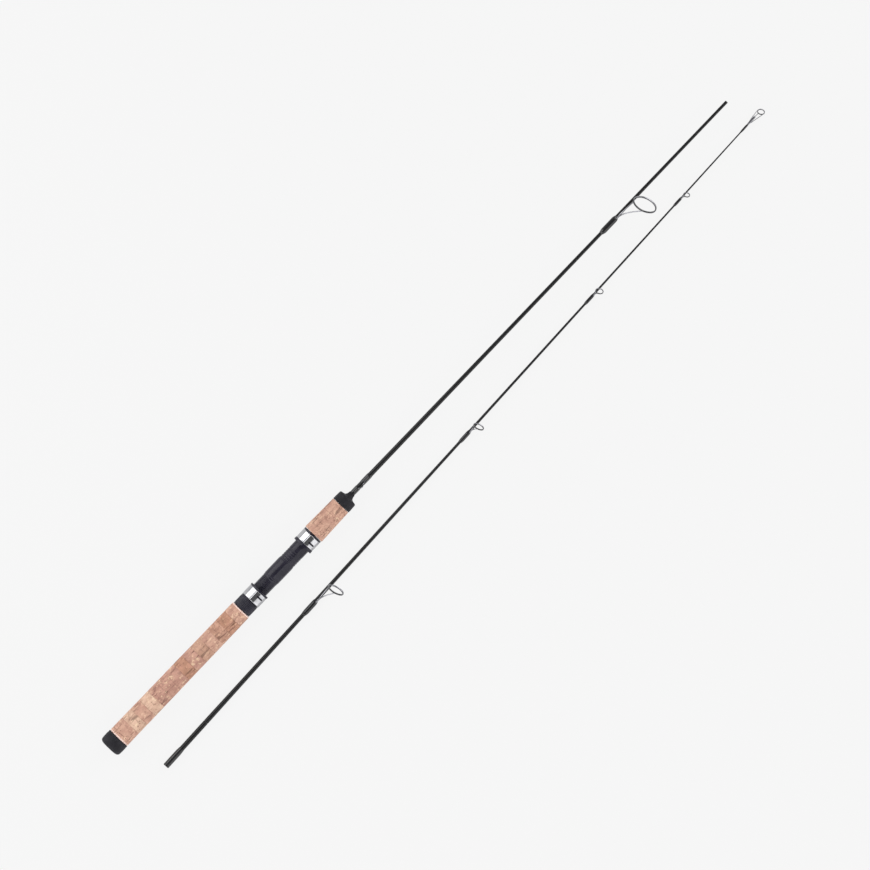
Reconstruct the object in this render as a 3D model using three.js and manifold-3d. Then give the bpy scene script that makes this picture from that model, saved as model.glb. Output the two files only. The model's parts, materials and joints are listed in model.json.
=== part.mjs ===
// A two-piece spinning rod, 1.80 m long when put together. It is modelled taken apart: the butt section lies
// along +X, and the tip section lies beside it on the -Y side. Millimetres, +Z up.
// The origin is the centre of the foot of the box around both sections, on the surface they lie on.
import * as THREE from 'three';
import { mergeVertices } from 'three/addons/utils/BufferGeometryUtils.js';
import Module from 'manifold-3d';

const wasm = await Module();
wasm.setup();

// ---------------------------------------------------------------- driving dimensions

const SECTION_LENGTH = 930; // of the butt section; the tip section is 924.5 long with its end ring
const FERRULE_DEPTH = 60; // how far the tip section goes over the butt section

const SIDES = 24; // facets of a turned piece
const FINE_SIDES = 16; // facets of a thin turned piece
const GAP = 0.3; // between faces that touch on the real rod
const SNUG = 0.12; // between small fitted pieces

// How the two sections lie
const ROLL = THREE.MathUtils.degToRad(26); // guides and reel seat lean this far from straight up, towards -Y
const TIP_SECTION_YAW = THREE.MathUtils.degToRad(1.5);
const TIP_SECTION_START = { x: 26.8, y: -55.8 }; // its socket end, from the butt end of the butt section

// Butt section, stations along its axis from the butt end
const CAP_LENGTH = 14.6;
const CAP_RADIUS = 12.75;
const CAP_WALL = 1.6;
const CAP_FLOOR = 5;

const REAR_GRIP_START = 7;
const REAR_RINGS = 15;
const REAR_RING_LENGTH = 12.8;
const REAR_GRIP_RADII = [12.35, 11.7]; // at the butt cap, at the reel seat
const FORE_RINGS = 3;
const FORE_RING_LENGTH = 13.7;
const FORE_GRIP_RADII = [11.9, 10.95];

const THREAD_LEAD = 3; // how far the nut moves in one turn
const THREAD_STARTS = 2;
const THREAD_CREST = 9.0;
const THREAD_ROOT = 8.55;
const THREAD_CLEARANCE = 0.25;
const THREAD_END = 243;
const NUT_TRAVEL = 24; // also the travel of the movable hood

const SEAT_TUBE_BORE = 6.6;
const SEAT_PAD = { from: 245, to: 267, radius: 9.3 };
const SEAT_RIBS = { from: 267.5, pitch: 2.9, count: 5, valley: 8.75 };
const SEAT_FLAT = { from: 246, to: 288, height: 8.6 }; // the face a reel foot lies on
const KEYWAY = { width: 2.4, depth: 0.75, end: 262 };

const NUT_RADIUS = 11;
const NUT_LENGTH = 13.5;
const NUT_NOSE = { length: 1.8, radius: 10.2 };
const NUT_FLUTES = 24;

const HOOD = {
  shellRadius: 11.3, shellBulge: 13.5, shellWall: 0.6, // the metal shell
  linerRadius: 10.45, linerBulge: 12.65, linerBore: 9.65, pocketRoof: 12.05, // its plastic liner
  rimRadius: 11.55, rimBulge: 13.75, // the liner's lip, in front of the shell
  bulgeHalfAngle: THREE.MathUtils.degToRad(35), // half the width of the bulge over the reel foot
  shoulder: THREE.MathUtils.degToRad(9),
  slot: { width: 7.4, length: 1.6, fromMouth: 3.6 },
};
const REAR_HOOD = { shellLength: 12.2, rimLength: 2 };
const FRONT_HOOD = { mouth: 290.8, shellLength: 11.6, rimLength: 3.1 };
const TRIM_RING = { length: 1.8, radius: 11.3 };

const CHECK = { bodyLength: 10.9, radii: [11.15, 10.75], coneLength: 6.3, coneRadius: 3.35, bore: 3.2 };

// Outer radius of each blank along its own axis; the wall is the same all the way
const BLANK_WALL = 0.8;
const BUTT_BLANK = [[6, 3.7], [200, 3.35], [349, 2.95], [394, 2.75], [468, 2.5], [572, 2.15], [676, 1.98],
  [811, 1.8], [894, 1.66], [SECTION_LENGTH, 1.66]];
const SOCKET_BORE = [2.02, 1.84]; // at the mouth and at FERRULE_DEPTH, over a spigot of 1.66 to 1.74
const TIP_BLANK = [[0, 2.85], [62, 2.75], [105, 2.55], [157, 2.38], [210, 2.2], [315, 1.92], [420, 1.6],
  [523, 1.38], [628, 1.2], [732, 1.02], [840, 0.82], [911.5, 0.65]];
const FERRULE_SLEEVE = { length: 24.4, radius: 3.45 };

// The single-foot guides. ring: outer radius of the metal ring; height: its centre above the blank's axis
const STRIPPER = {
  at: 792.8, ring: 13.3, height: 28.5, lean: 35, foot: [741.5, 767.5], footThickness: 0.95,
  wrap: [740.5, 764.4], wrapRadius: 3.3, wire: 0.62, band: 2.0, insert: 0.95, segments: 32,
};
const RUNNING_GUIDES = [
  {
    at: 255.1, ring: 9.35, height: 17.8, lean: 26, foot: [214, 238], footThickness: 0.85,
    wrap: [213, 233.4], wrapRadius: 3.1, wire: 0.55, band: 1.8, insert: 0.85, segments: 28,
  },
  {
    at: 480.6, ring: 6.1, height: 8.8, lean: 31, foot: [456, 474.6], footThickness: 0.6,
    wrap: [455, 471.5], wrapRadius: 2.35, wire: 0.42, band: 1.4, insert: 0.7, segments: 24,
  },
  {
    at: 669.5, ring: 4.5, height: 5.0, lean: 48, foot: [650, 665.4], footThickness: 0.42,
    wrap: [649, 663.4], wrapRadius: 1.85, wire: 0.34, band: 1.2, insert: 0.6, segments: 20,
  },
  {
    at: 804.7, ring: 3.7, height: 4.9, lean: 48, foot: [788, 801], footThickness: 0.38,
    wrap: [787, 799.2], wrapRadius: 1.6, wire: 0.32, band: 1.1, insert: 0.55, segments: 20,
  },
];
// The legs meet the ring this far each side of its lowest point
const LEG_ANGLE = THREE.MathUtils.degToRad(34);

const TIP_TOP = {
  at: 920.7, ring: 4.15, height: 3.3, lean: 50, tube: [902, 914], tubeRadius: 1.2,
  wrap: [891, 901.8], wrapRadius: 1.2, wire: 0.36, band: 1.1, insert: 0.55, segments: 20,
};

const KEEPER = {
  wraps: [[367.2, 375.6], [381.2, 393.4]], wrapRadius: 3.2, loop: [376.4, 380.4], height: 7.2, wire: 0.36,
};

// ---------------------------------------------------------------- materials

function material(colour, roughness, metalness = 0) {
  return new THREE.MeshStandardMaterial({ color: colour, roughness, metalness });
}
const CORK = material(0xd2a682, 0.85);
const RUBBER = material(0x26262b, 0.8);
const SEAT_PLASTIC = material(0x24222a, 0.45);
const HOOD_METAL = material(0xd8d9dc, 0.15, 1);
const BLANK_CARBON = material(0x1d1d1f, 0.35);
const WRAP_THREAD = material(0x141416, 0.2);
const GUIDE_METAL = material(0xb9bbbf, 0.2, 1);
const GUIDE_CERAMIC = material(0x3a3c40, 0.25);
const ARBOR_FOAM = material(0xb9b2a2, 0.9);

// ---------------------------------------------------------------- solids

// A three.js geometry as a manifold-3d solid.
function solid(geometry) {
  const bare = geometry.clone();
  bare.deleteAttribute('normal');
  bare.deleteAttribute('uv');
  const merged = mergeVertices(bare, 1e-4);
  const made = new wasm.Manifold(new wasm.Mesh({
    numProp: 3,
    vertProperties: merged.attributes.position.array,
    triVerts: new Uint32Array(merged.index.array),
  }));
  return made;
}

// A manifold-3d solid as a three.js geometry.
function geometryOf(made) {
  const mesh = made.getMesh();
  const positions = new Float32Array(mesh.numVert * 3);
  for (let i = 0; i < mesh.numVert; i++) {
    const start = i * mesh.numProp;
    positions.set(mesh.vertProperties.subarray(start, start + 3), i * 3);
  }
  const geometry = new THREE.BufferGeometry();
  geometry.setAttribute('position', new THREE.BufferAttribute(positions, 3));
  geometry.setIndex(new THREE.BufferAttribute(mesh.triVerts, 1));
  geometry.computeVertexNormals();
  return geometry;
}

function joined(geometries) {
  return geometries.map(solid).reduce((all, next) => all.add(next));
}

function cut(body, ...tools) {
  return tools.reduce((left, tool) => left.subtract(tool), body);
}

function named(name, geometryOrSolid, itsMaterial) {
  const geometry = geometryOrSolid.isBufferGeometry ? geometryOrSolid : geometryOf(geometryOrSolid);
  const mesh = new THREE.Mesh(geometry, itsMaterial);
  mesh.name = name;
  return mesh;
}

// Turns a profile of [station, radius] points about the X axis. The facets are turned so that one lies flat
// underneath once the section is rolled.
function turned(profile, sides = SIDES) {
  const points = profile.map(([station, radius]) => new THREE.Vector2(Math.max(radius, 0), station));
  const geometry = new THREE.LatheGeometry(points, sides, Math.PI - ROLL + Math.PI / sides);
  return geometry.rotateZ(-Math.PI / 2);
}

// A turned tube: an outer profile, and a bore profile with the same first and last station.
function turnedTube(outer, bore, sides = SIDES) {
  return turned([...bore, ...[...outer].reverse(), bore[0]].reverse(), sides);
}

function plainTube(from, to, outerRadius, boreRadius, sides = SIDES) {
  return turnedTube([[from, outerRadius], [to, outerRadius]], [[from, boreRadius], [to, boreRadius]], sides);
}

// A solid bar for cutting and for cores, from one station to another.
function bar(from, to, radius, sides = SIDES) {
  return turned([[from, 0], [from, radius], [to, radius], [to, 0]], sides);
}

function radiusAt(profile, station) {
  const after = profile.findIndex(([x]) => x >= station);
  if (after <= 0) return profile[Math.max(after, 0)][1];
  const [x0, r0] = profile[after - 1];
  const [x1, r1] = profile[after];
  return r0 + (r1 - r0) * (station - x0) / (x1 - x0);
}

// A wire of round section along a curve.
function wire(curve, radius, steps, sides = 8) {
  const section = new THREE.Shape();
  for (let i = 0; i < sides; i++) {
    const angle = 2 * Math.PI * i / sides;
    const [x, y] = [radius * Math.cos(angle), radius * Math.sin(angle)];
    if (i === 0) section.moveTo(x, y);
    else section.lineTo(x, y);
  }
  return new THREE.ExtrudeGeometry(section, { extrudePath: curve, steps, bevelEnabled: false });
}

// A bar with a right-hand screw thread on the X axis. Each row of vertices climbs one lead in a turn, so the
// crests and roots run along the rows.
function threadedBar(from, to, root, crest, sides = SIDES) {
  const rowsPerTurn = 2 * THREAD_STARTS;
  const turns = Math.ceil((to - from) / THREAD_LEAD) + 2;
  const rows = turns * rowsPerTurn;
  const start = Math.floor(from / THREAD_LEAD - 1) * THREAD_LEAD; // all threads are in step with each other
  const positions = [];
  const indices = [];
  for (let row = 0; row <= rows; row++) {
    for (let side = 0; side < sides; side++) {
      const x = start + THREAD_LEAD * (row / rowsPerTurn + side / sides);
      const angle = 2 * Math.PI * side / sides;
      const radius = row % 2 ? crest : root;
      positions.push(x, radius * Math.cos(angle), radius * Math.sin(angle));
    }
  }
  // The vertex at the end of a row is the first vertex one turn further on.
  const at = (row, side) => (side < sides ? row * sides + side : (row + rowsPerTurn) * sides);
  const lastRow = rows - rowsPerTurn;
  for (let row = 0; row < lastRow; row++) {
    for (let side = 0; side < sides; side++) {
      indices.push(at(row, side), at(row, side + 1), at(row + 1, side + 1));
      indices.push(at(row, side), at(row + 1, side + 1), at(row + 1, side));
    }
  }
  // Both ends are closed by fans round a point on the axis.
  for (const [row, facingBack] of [[0, true], [lastRow, false]]) {
    const loop = [];
    for (let side = 0; side < sides; side++) loop.push(at(row, side));
    for (let step = rowsPerTurn; step > 0; step--) loop.push(at(row + step, 0));
    const centre = positions.length / 3;
    positions.push(start + THREAD_LEAD * (row / rowsPerTurn + 0.5), 0, 0);
    loop.forEach((vertex, i) => {
      const next = loop[(i + 1) % loop.length];
      if (facingBack) indices.push(centre, next, vertex);
      else indices.push(centre, vertex, next);
    });
  }
  const geometry = new THREE.BufferGeometry();
  geometry.setAttribute('position', new THREE.Float32BufferAttribute(positions, 3));
  geometry.setIndex(indices);
  const clean = mergeVertices(geometry, 1e-6);
  return solid(clean).intersect(solid(bar(from, to, crest + 1)));
}

// The outline of a hood across the axis: a circle with a wider arc over the reel foot, round +Z.
function hoodOutline(radius, bulgeRadius, halfAngle, step) {
  const shape = new THREE.Shape();
  const full = 2 * Math.PI;
  for (let i = 0; i < step; i++) {
    const angle = full * i / step; // from +Z, turning towards +Y
    const offset = Math.abs(Math.atan2(Math.sin(angle), Math.cos(angle)));
    const edge = HOOD.shoulder / 2;
    const share = THREE.MathUtils.smoothstep(-offset, -halfAngle - edge, -halfAngle + edge);
    const r = radius + (bulgeRadius - radius) * share;
    const point = [r * Math.cos(angle), r * Math.sin(angle)];
    if (i === 0) shape.moveTo(...point);
    else shape.lineTo(...point);
  }
  return shape;
}

// Pushes an outline drawn in (Z, Y) along +X.
function alongX(shape, from, to) {
  const geometry = new THREE.ExtrudeGeometry(shape, { depth: to - from, bevelEnabled: false, steps: 1 });
  // The outline's x becomes Z, its y becomes Y turned over, and its depth becomes X.
  const toAxis = new THREE.Matrix4().makeBasis(
    new THREE.Vector3(0, 0, 1), new THREE.Vector3(0, -1, 0), new THREE.Vector3(1, 0, 0));
  geometry.applyMatrix4(toAxis);
  return geometry.translate(from, 0, 0);
}

const HOOD_STEPS = 40;
function hoodSolid(radius, bulgeRadius, halfAngle, from, to) {
  return solid(alongX(hoodOutline(radius, bulgeRadius, halfAngle, HOOD_STEPS), from, to));
}

function box(xRange, yRange, zRange) {
  const size = [xRange, yRange, zRange].map(([low, high]) => high - low);
  const centre = [xRange, yRange, zRange].map(([low, high]) => (low + high) / 2);
  return new THREE.BoxGeometry(...size).translate(...centre);
}

// ---------------------------------------------------------------- grips

function gripRadius(radii, from, to, station) {
  return radii[0] + (radii[1] - radii[0]) * (station - from) / (to - from);
}

// One glued cork ring. The first ring of the rear grip is turned down where the butt cap goes over it.
function corkRing(index, count, length, start, radii) {
  const end = start + count * length;
  const from = start + index * length;
  const to = from + length - 0.1;
  const [r0, r1] = [from, to].map((x) => gripRadius(radii, start, end, x));
  const bore = radiusAt(BUTT_BLANK, from) + SNUG;
  return { from, to, r0, r1, bore };
}

function rearGrip() {
  const rings = [];
  for (let i = 0; i < REAR_RINGS; i++) {
    const ring = corkRing(i, REAR_RINGS, REAR_RING_LENGTH, REAR_GRIP_START, REAR_GRIP_RADII);
    const { from, to, r0, r1, bore } = ring;
    const name = `rear_cork_ring_${String(i + 1).padStart(2, '0')}`;
    if (i > 0) {
      rings.push(named(name, turnedTube([[from, r0], [to, r1]], [[from, bore], [to, bore]]), CORK));
      continue;
    }
    const tenonStart = CAP_FLOOR + GAP;
    const tenonRadius = CAP_RADIUS - CAP_WALL - GAP;
    const shoulder = CAP_LENGTH + GAP;
    rings.push(named(name, turnedTube(
      [[tenonStart, tenonRadius], [shoulder, tenonRadius], [shoulder, r0], [to, r1]],
      [[tenonStart, bore], [to, bore]]), CORK));
  }
  return rings;
}

const REAR_GRIP_END = REAR_GRIP_START + REAR_RINGS * REAR_RING_LENGTH;
const FORE_GRIP_START = FRONT_HOOD.mouth + FRONT_HOOD.rimLength + FRONT_HOOD.shellLength
  + TRIM_RING.length + 2 * 0.2 + GAP;
const FORE_GRIP_END = FORE_GRIP_START + FORE_RINGS * FORE_RING_LENGTH;

function foreGrip() {
  const rings = [];
  for (let i = 0; i < FORE_RINGS; i++) {
    const ring = corkRing(i, FORE_RINGS, FORE_RING_LENGTH, FORE_GRIP_START, FORE_GRIP_RADII);
    const { from, to, r0, r1, bore } = ring;
    const tube = turnedTube([[from, r0], [to, r1]], [[from, bore], [to, bore]]);
    rings.push(named(`fore_cork_ring_${i + 1}`, tube, CORK));
  }
  return rings;
}

function buttCap() {
  const innerRadius = CAP_RADIUS - CAP_WALL;
  const flat = CAP_RADIUS - 4.6;
  return turned([
    [0, 0], [0, flat], [0.5, CAP_RADIUS - 2.4], [1.6, CAP_RADIUS - 0.9],
    [3.2, CAP_RADIUS - 0.25], [8, CAP_RADIUS],
    [CAP_LENGTH, CAP_RADIUS - 0.1], [CAP_LENGTH, innerRadius], [CAP_FLOOR, innerRadius], [CAP_FLOOR, 0],
  ]);
}

function windingCheck() {
  const start = FORE_GRIP_END + 0.2;
  const end = start + CHECK.bodyLength;
  const tip = end + CHECK.coneLength;
  const outer = [[start, CHECK.radii[0]], [end - 1, CHECK.radii[1]], [end, CHECK.radii[1] - 0.9],
    [end + 0.9, 5.4], [end + 2.6, 4.1], [tip, CHECK.coneRadius]];
  return turnedTube(outer, [[start, CHECK.bore], [tip, CHECK.bore - 0.15]]);
}

// ---------------------------------------------------------------- reel seat

const SEAT_TUBE_START = REAR_GRIP_END + GAP;
const NUT_START = REAR_GRIP_END + GAP;
const NUT_END = NUT_START + NUT_LENGTH;
const REAR_SHELL_START = NUT_END + GAP;
const REAR_SHELL_END = REAR_SHELL_START + REAR_HOOD.shellLength;
const REAR_MOUTH = REAR_SHELL_END + REAR_HOOD.rimLength;
const FRONT_SHELL_START = FRONT_HOOD.mouth + FRONT_HOOD.rimLength;
const FRONT_SHELL_END = FRONT_SHELL_START + FRONT_HOOD.shellLength;
const SEAT_TUBE_END = FRONT_SHELL_END + TRIM_RING.length;

function seatTube() {
  const thread = threadedBar(SEAT_TUBE_START, THREAD_END, THREAD_ROOT, THREAD_CREST);
  const ribProfile = [];
  for (let i = 0; i < SEAT_RIBS.count; i++) {
    const x = SEAT_RIBS.from + i * SEAT_RIBS.pitch;
    ribProfile.push([x, THREAD_CREST], [x + 0.6, SEAT_RIBS.valley]);
    ribProfile.push([x + 1.4, SEAT_RIBS.valley], [x + 2, THREAD_CREST]);
  }
  const plain = solid(turned([
    [THREAD_END - 0.5, 0], [THREAD_END - 0.5, THREAD_CREST], [SEAT_PAD.from - 0.6, THREAD_CREST],
    [SEAT_PAD.from, SEAT_PAD.radius], [SEAT_PAD.to - 0.6, SEAT_PAD.radius], [SEAT_PAD.to, THREAD_CREST],
    ...ribProfile, [SEAT_TUBE_END, THREAD_CREST], [SEAT_TUBE_END, 0],
  ]));
  const bore = solid(bar(SEAT_TUBE_START - 1, SEAT_TUBE_END + 1, SEAT_TUBE_BORE));
  const flat = solid(box([SEAT_FLAT.from, SEAT_FLAT.to], [-CAP_RADIUS, CAP_RADIUS],
    [SEAT_FLAT.height, CAP_RADIUS]));
  const keyway = solid(box([SEAT_TUBE_START - 1, KEYWAY.end], [-KEYWAY.width / 2, KEYWAY.width / 2],
    [-CAP_RADIUS, -(THREAD_CREST - KEYWAY.depth)]));
  return cut(thread.add(plain), bore, flat, keyway);
}

// A hood's metal shell, open at both ends, with the narrow slot over the reel foot.
function hoodShell(from, to, mouth) {
  const outer = hoodSolid(HOOD.shellRadius, HOOD.shellBulge, HOOD.bulgeHalfAngle, from, to);
  const inner = hoodSolid(HOOD.shellRadius - HOOD.shellWall, HOOD.shellBulge - HOOD.shellWall,
    HOOD.bulgeHalfAngle, from - 1, to + 1);
  const inwards = mouth > from ? -1 : 1;
  const slotMiddle = mouth + inwards * (HOOD.slot.fromMouth + HOOD.slot.length / 2);
  const slot = solid(box([slotMiddle - HOOD.slot.length / 2, slotMiddle + HOOD.slot.length / 2],
    [-HOOD.slot.width / 2, HOOD.slot.width / 2], [HOOD.shellRadius, HOOD.shellBulge + 1]));
  return cut(outer, inner, slot);
}

// A hood's plastic liner: the pocket for the reel foot opens at the mouth and ends at a wall at the back.
function hoodLiner(back, mouth, rimStart, pocketEnd, boreRadius) {
  const low = Math.min(back, mouth);
  const high = Math.max(back, mouth);
  const body = hoodSolid(HOOD.linerRadius, HOOD.linerBulge, HOOD.bulgeHalfAngle, low, high);
  const rim = hoodSolid(HOOD.rimRadius, HOOD.rimBulge, HOOD.bulgeHalfAngle,
    Math.min(rimStart, mouth), Math.max(rimStart, mouth));
  const bore = solid(bar(low - 1, high + 1, boreRadius));
  const outwards = Math.sign(mouth - back);
  const pocketFrom = Math.min(pocketEnd, mouth + outwards);
  const pocketTo = Math.max(pocketEnd, mouth + outwards);
  const narrower = HOOD.bulgeHalfAngle - THREE.MathUtils.degToRad(6);
  const pocket = hoodSolid(HOOD.linerBore - 0.5, HOOD.pocketRoof, narrower, pocketFrom, pocketTo);
  return cut(body.add(rim), bore, pocket);
}

function movableHoodLiner() {
  const back = REAR_SHELL_START + NUT_NOSE.length + GAP;
  const liner = hoodLiner(back, REAR_MOUTH, REAR_SHELL_END + 0.2, back + 2, HOOD.linerBore);
  const keyWidth = KEYWAY.width - 2 * GAP;
  const key = solid(box([back, REAR_SHELL_END], [-keyWidth / 2, keyWidth / 2],
    [-(HOOD.linerBore + 0.4), -(THREAD_CREST - KEYWAY.depth + GAP)]));
  return liner.add(key);
}

function lockNut() {
  const outline = new THREE.Shape();
  const points = NUT_FLUTES * 2;
  for (let i = 0; i < points; i++) {
    const angle = 2 * Math.PI * i / points;
    const r = i % 2 ? NUT_RADIUS - 0.3 : NUT_RADIUS;
    if (i === 0) outline.moveTo(r, 0);
    else outline.lineTo(r * Math.cos(angle), r * Math.sin(angle));
  }
  const body = solid(alongX(outline, NUT_START, NUT_END));
  const ends = solid(turned([
    [NUT_START, 0], [NUT_START, NUT_RADIUS - 0.5], [NUT_START + 0.6, NUT_RADIUS + 0.1],
    [NUT_END - 0.6, NUT_RADIUS + 0.1], [NUT_END, NUT_RADIUS - 0.5], [NUT_END, 0],
  ]));
  const nose = solid(bar(NUT_END - 1, NUT_END + NUT_NOSE.length, NUT_NOSE.radius));
  const thread = threadedBar(NUT_START - 1, NUT_END + NUT_NOSE.length + 1,
    THREAD_ROOT + THREAD_CLEARANCE, THREAD_CREST + THREAD_CLEARANCE);
  return cut(body.intersect(ends).add(nose), thread);
}

function seatArbors() {
  const arborLength = 16;
  const places = [['seat_arbor_rear', 203], ['seat_arbor_middle', 246], ['seat_arbor_front', 287]];
  return places.map(([name, from]) => {
    const bore = radiusAt(BUTT_BLANK, from) + SNUG;
    const tube = plainTube(from, from + arborLength, SEAT_TUBE_BORE - 0.2, bore, FINE_SIDES);
    return named(name, tube, ARBOR_FOAM);
  });
}

// ---------------------------------------------------------------- blanks, wraps and guides

// A hollow blank between two stations of its profile.
function blank(profile, from, to, boreProfile) {
  const inside = profile.filter(([x]) => x > from && x < to);
  const outer = [[from, radiusAt(profile, from)], ...inside, [to, radiusAt(profile, to)]];
  const bore = boreProfile ?? outer.map(([x, r]) => [x, Math.max(r - BLANK_WALL, r * 0.35)]);
  return turnedTube(outer, bore, FINE_SIDES);
}

// A thread wrap under its clear coat: a spindle round the blank, standing proud on the guide's side.
function wrap(profile, [from, to], radius, offset, ...tools) {
  const r0 = radiusAt(profile, from) + 0.3;
  const r1 = radiusAt(profile, to) + 0.3;
  const end = Math.min((to - from) * 0.2, 4);
  const spindle = solid(turned([
    [from, 0], [from, r0], [from + end, radius - 0.25], [(from + to) / 2, radius],
    [to - end, radius - 0.15], [to, r1], [to, 0],
  ], FINE_SIDES).translate(0, 0, offset));
  const core = solid(bar(from - 1, to + 1, radiusAt(profile, from) + SNUG, FINE_SIDES));
  return cut(spindle, core, ...tools);
}

// The flat foot of a guide, on top of the blank. grow makes it larger all round, to cut its own seat.
function guideFoot(profile, [from, to], thickness, grow = 0) {
  const under = radiusAt(profile, from) + SNUG + 0.05;
  const width = thickness * 2.2 + 2 * grow;
  const side = new THREE.Shape();
  side.moveTo(from - grow, under - grow);
  side.lineTo(to + grow, under - grow);
  side.lineTo(to + grow, under + thickness + grow);
  side.lineTo(from + (to - from) * 0.6, under + thickness + grow);
  side.lineTo(from - grow, under + 0.2 + grow);
  const geometry = new THREE.ExtrudeGeometry(side, { depth: width, bevelEnabled: false, steps: 1 });
  return solid(geometry.translate(0, 0, -width / 2).rotateX(Math.PI / 2));
}

// A band turned about the guide ring's own axis, which leans so that the top of the ring is towards the tip.
function ringBand(guide, outerRadius, innerRadius, width) {
  const half = width / 2;
  const bevel = Math.min(width, outerRadius - innerRadius) * 0.28;
  const profile = [
    [-half, innerRadius + bevel], [0, innerRadius], [half, innerRadius + bevel],
    [half, outerRadius - bevel], [0, outerRadius], [-half, outerRadius - bevel],
  ];
  const points = [...profile, profile[0]].reverse().map(([x, r]) => new THREE.Vector2(r, x));
  const geometry = new THREE.LatheGeometry(points, guide.segments).rotateZ(-Math.PI / 2);
  geometry.rotateY(THREE.MathUtils.degToRad(guide.lean));
  return geometry.translate(guide.at, 0, guide.height);
}

// A point on the guide ring, at an angle from its lowest point.
function onRing(guide, radius, angle) {
  const lean = THREE.MathUtils.degToRad(guide.lean);
  const up = -radius * Math.cos(angle);
  return new THREE.Vector3(
    guide.at + up * Math.sin(lean), radius * Math.sin(angle), guide.height + up * Math.cos(lean));
}

const ringWall = (guide) => Math.min(0.55, guide.insert * 0.6);

function guideInsert(guide) {
  const outer = guide.ring - ringWall(guide) - SNUG;
  return ringBand(guide, outer, outer - guide.insert, guide.band);
}

function guideFrame(profile, guide) {
  const band = ringBand(guide, guide.ring, guide.ring - ringWall(guide), guide.band * 0.75);
  const footEnd = guide.foot[1];
  const footMiddle = radiusAt(profile, guide.foot[0]) + SNUG + 0.05 + guide.footThickness / 2;
  const legs = [-1, 1].map((side) => {
    const ringPoint = onRing(guide, guide.ring - ringWall(guide) / 2, side * LEG_ANGLE);
    const bendStation = footEnd + (ringPoint.x - footEnd) * 0.25;
    const start = new THREE.Vector3(footEnd - 1.2, side * guide.footThickness * 0.35, footMiddle);
    const bend = new THREE.Vector3(bendStation, side * guide.footThickness * 0.5, footMiddle + 0.15);
    return wire(new THREE.QuadraticBezierCurve3(start, bend, ringPoint), guide.wire, 6);
  });
  return joined([band, ...legs]).add(guideFoot(profile, guide.foot, guide.footThickness));
}

function guideNodes(name, profile, guide) {
  const seat = guideFoot(profile, guide.foot, guide.footThickness, SNUG);
  const binding = wrap(profile, guide.wrap, guide.wrapRadius, guide.footThickness * 0.45, seat);
  return [
    named(`${name}_frame`, guideFrame(profile, guide), GUIDE_METAL),
    named(`${name}_ring`, guideInsert(guide), GUIDE_CERAMIC),
    named(`${name}_wrap`, binding, WRAP_THREAD),
  ];
}

function tipTopNodes() {
  const [from, to] = TIP_TOP.tube;
  const blankEnd = TIP_BLANK.at(-1)[0];
  const tube = turned([
    [from, 0.82], [from, TIP_TOP.tubeRadius], [to - 0.8, TIP_TOP.tubeRadius],
    [to, TIP_TOP.tubeRadius * 0.6], [to, 0],
    [blankEnd + GAP, 0], [blankEnd + GAP, 0.82], [from, 0.82],
  ], FINE_SIDES);
  const band = ringBand(TIP_TOP, TIP_TOP.ring, TIP_TOP.ring - ringWall(TIP_TOP), TIP_TOP.band * 0.75);
  const legs = [-1, 1].map((side) => {
    const ringPoint = onRing(TIP_TOP, TIP_TOP.ring - ringWall(TIP_TOP) / 2, side * Math.PI * 0.42);
    const start = new THREE.Vector3(from + 3, side * TIP_TOP.tubeRadius * 0.9, 0.2);
    const bend = new THREE.Vector3((start.x + ringPoint.x) / 2, side * (TIP_TOP.tubeRadius + 1.5), 0.9);
    return wire(new THREE.QuadraticBezierCurve3(start, bend, ringPoint), TIP_TOP.wire, 6);
  });
  const lowest = onRing(TIP_TOP, TIP_TOP.ring - 0.2, 0);
  const brace = wire(new THREE.LineCurve3(new THREE.Vector3(to - 1.2, 0, 0.1), lowest), TIP_TOP.wire, 1);
  return [
    named('tip_top_frame', joined([tube, band, brace, ...legs]), GUIDE_METAL),
    named('tip_top_ring', guideInsert(TIP_TOP), GUIDE_CERAMIC),
    named('tip_top_wrap', wrap(TIP_BLANK, TIP_TOP.wrap, TIP_TOP.wrapRadius, 0), WRAP_THREAD),
  ];
}

// The small wire loop that a hook is hung on, with a wrap over each of its two feet.
function keeperNodes() {
  const [low, high] = KEEPER.loop;
  const onBlank = radiusAt(BUTT_BLANK, low) + KEEPER.wire + SNUG;
  const route = (wireFrom, wireTo) => new THREE.CatmullRomCurve3([
    [wireFrom, onBlank], [low - 1.6, onBlank], [low, onBlank + 0.7], [low + 0.1, KEEPER.height - 1.2],
    [(low + high) / 2, KEEPER.height], [high - 0.1, KEEPER.height - 1.2], [high, onBlank + 0.7],
    [high + 1.6, onBlank], [wireTo, onBlank],
  ].map(([x, z]) => new THREE.Vector3(x, 0, z)), false, 'centripetal');
  const [rear, front] = KEEPER.wraps;
  const loop = wire(route(rear[0] + 2, front[1] - 2), KEEPER.wire, 36, 6);
  const clear = KEEPER.wire + SNUG;
  const seat = solid(box([rear[0] + 1.8, front[1] - 1.8], [-clear, clear], [0, onBlank + clear]));
  // The thread tents over the wire's foot, in a ridge along the top of the wrap.
  const tented = ([from, to]) => {
    const ridge = solid(turned([[from + 0.4, 0], [from + 1.2, 0.95], [to - 1.2, 0.95], [to - 0.4, 0]], 10)
      .translate(0, 0, onBlank));
    const core = solid(bar(from - 1, to + 1, radiusAt(BUTT_BLANK, from) + SNUG, FINE_SIDES));
    return wrap(BUTT_BLANK, [from, to], KEEPER.wrapRadius, 0).add(ridge).subtract(core).subtract(seat);
  };
  return [
    named('hook_keeper', loop, GUIDE_METAL),
    named('hook_keeper_rear_wrap', tented(rear), WRAP_THREAD),
    named('hook_keeper_front_wrap', tented(front), WRAP_THREAD),
  ];
}

// ---------------------------------------------------------------- the two sections

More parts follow.
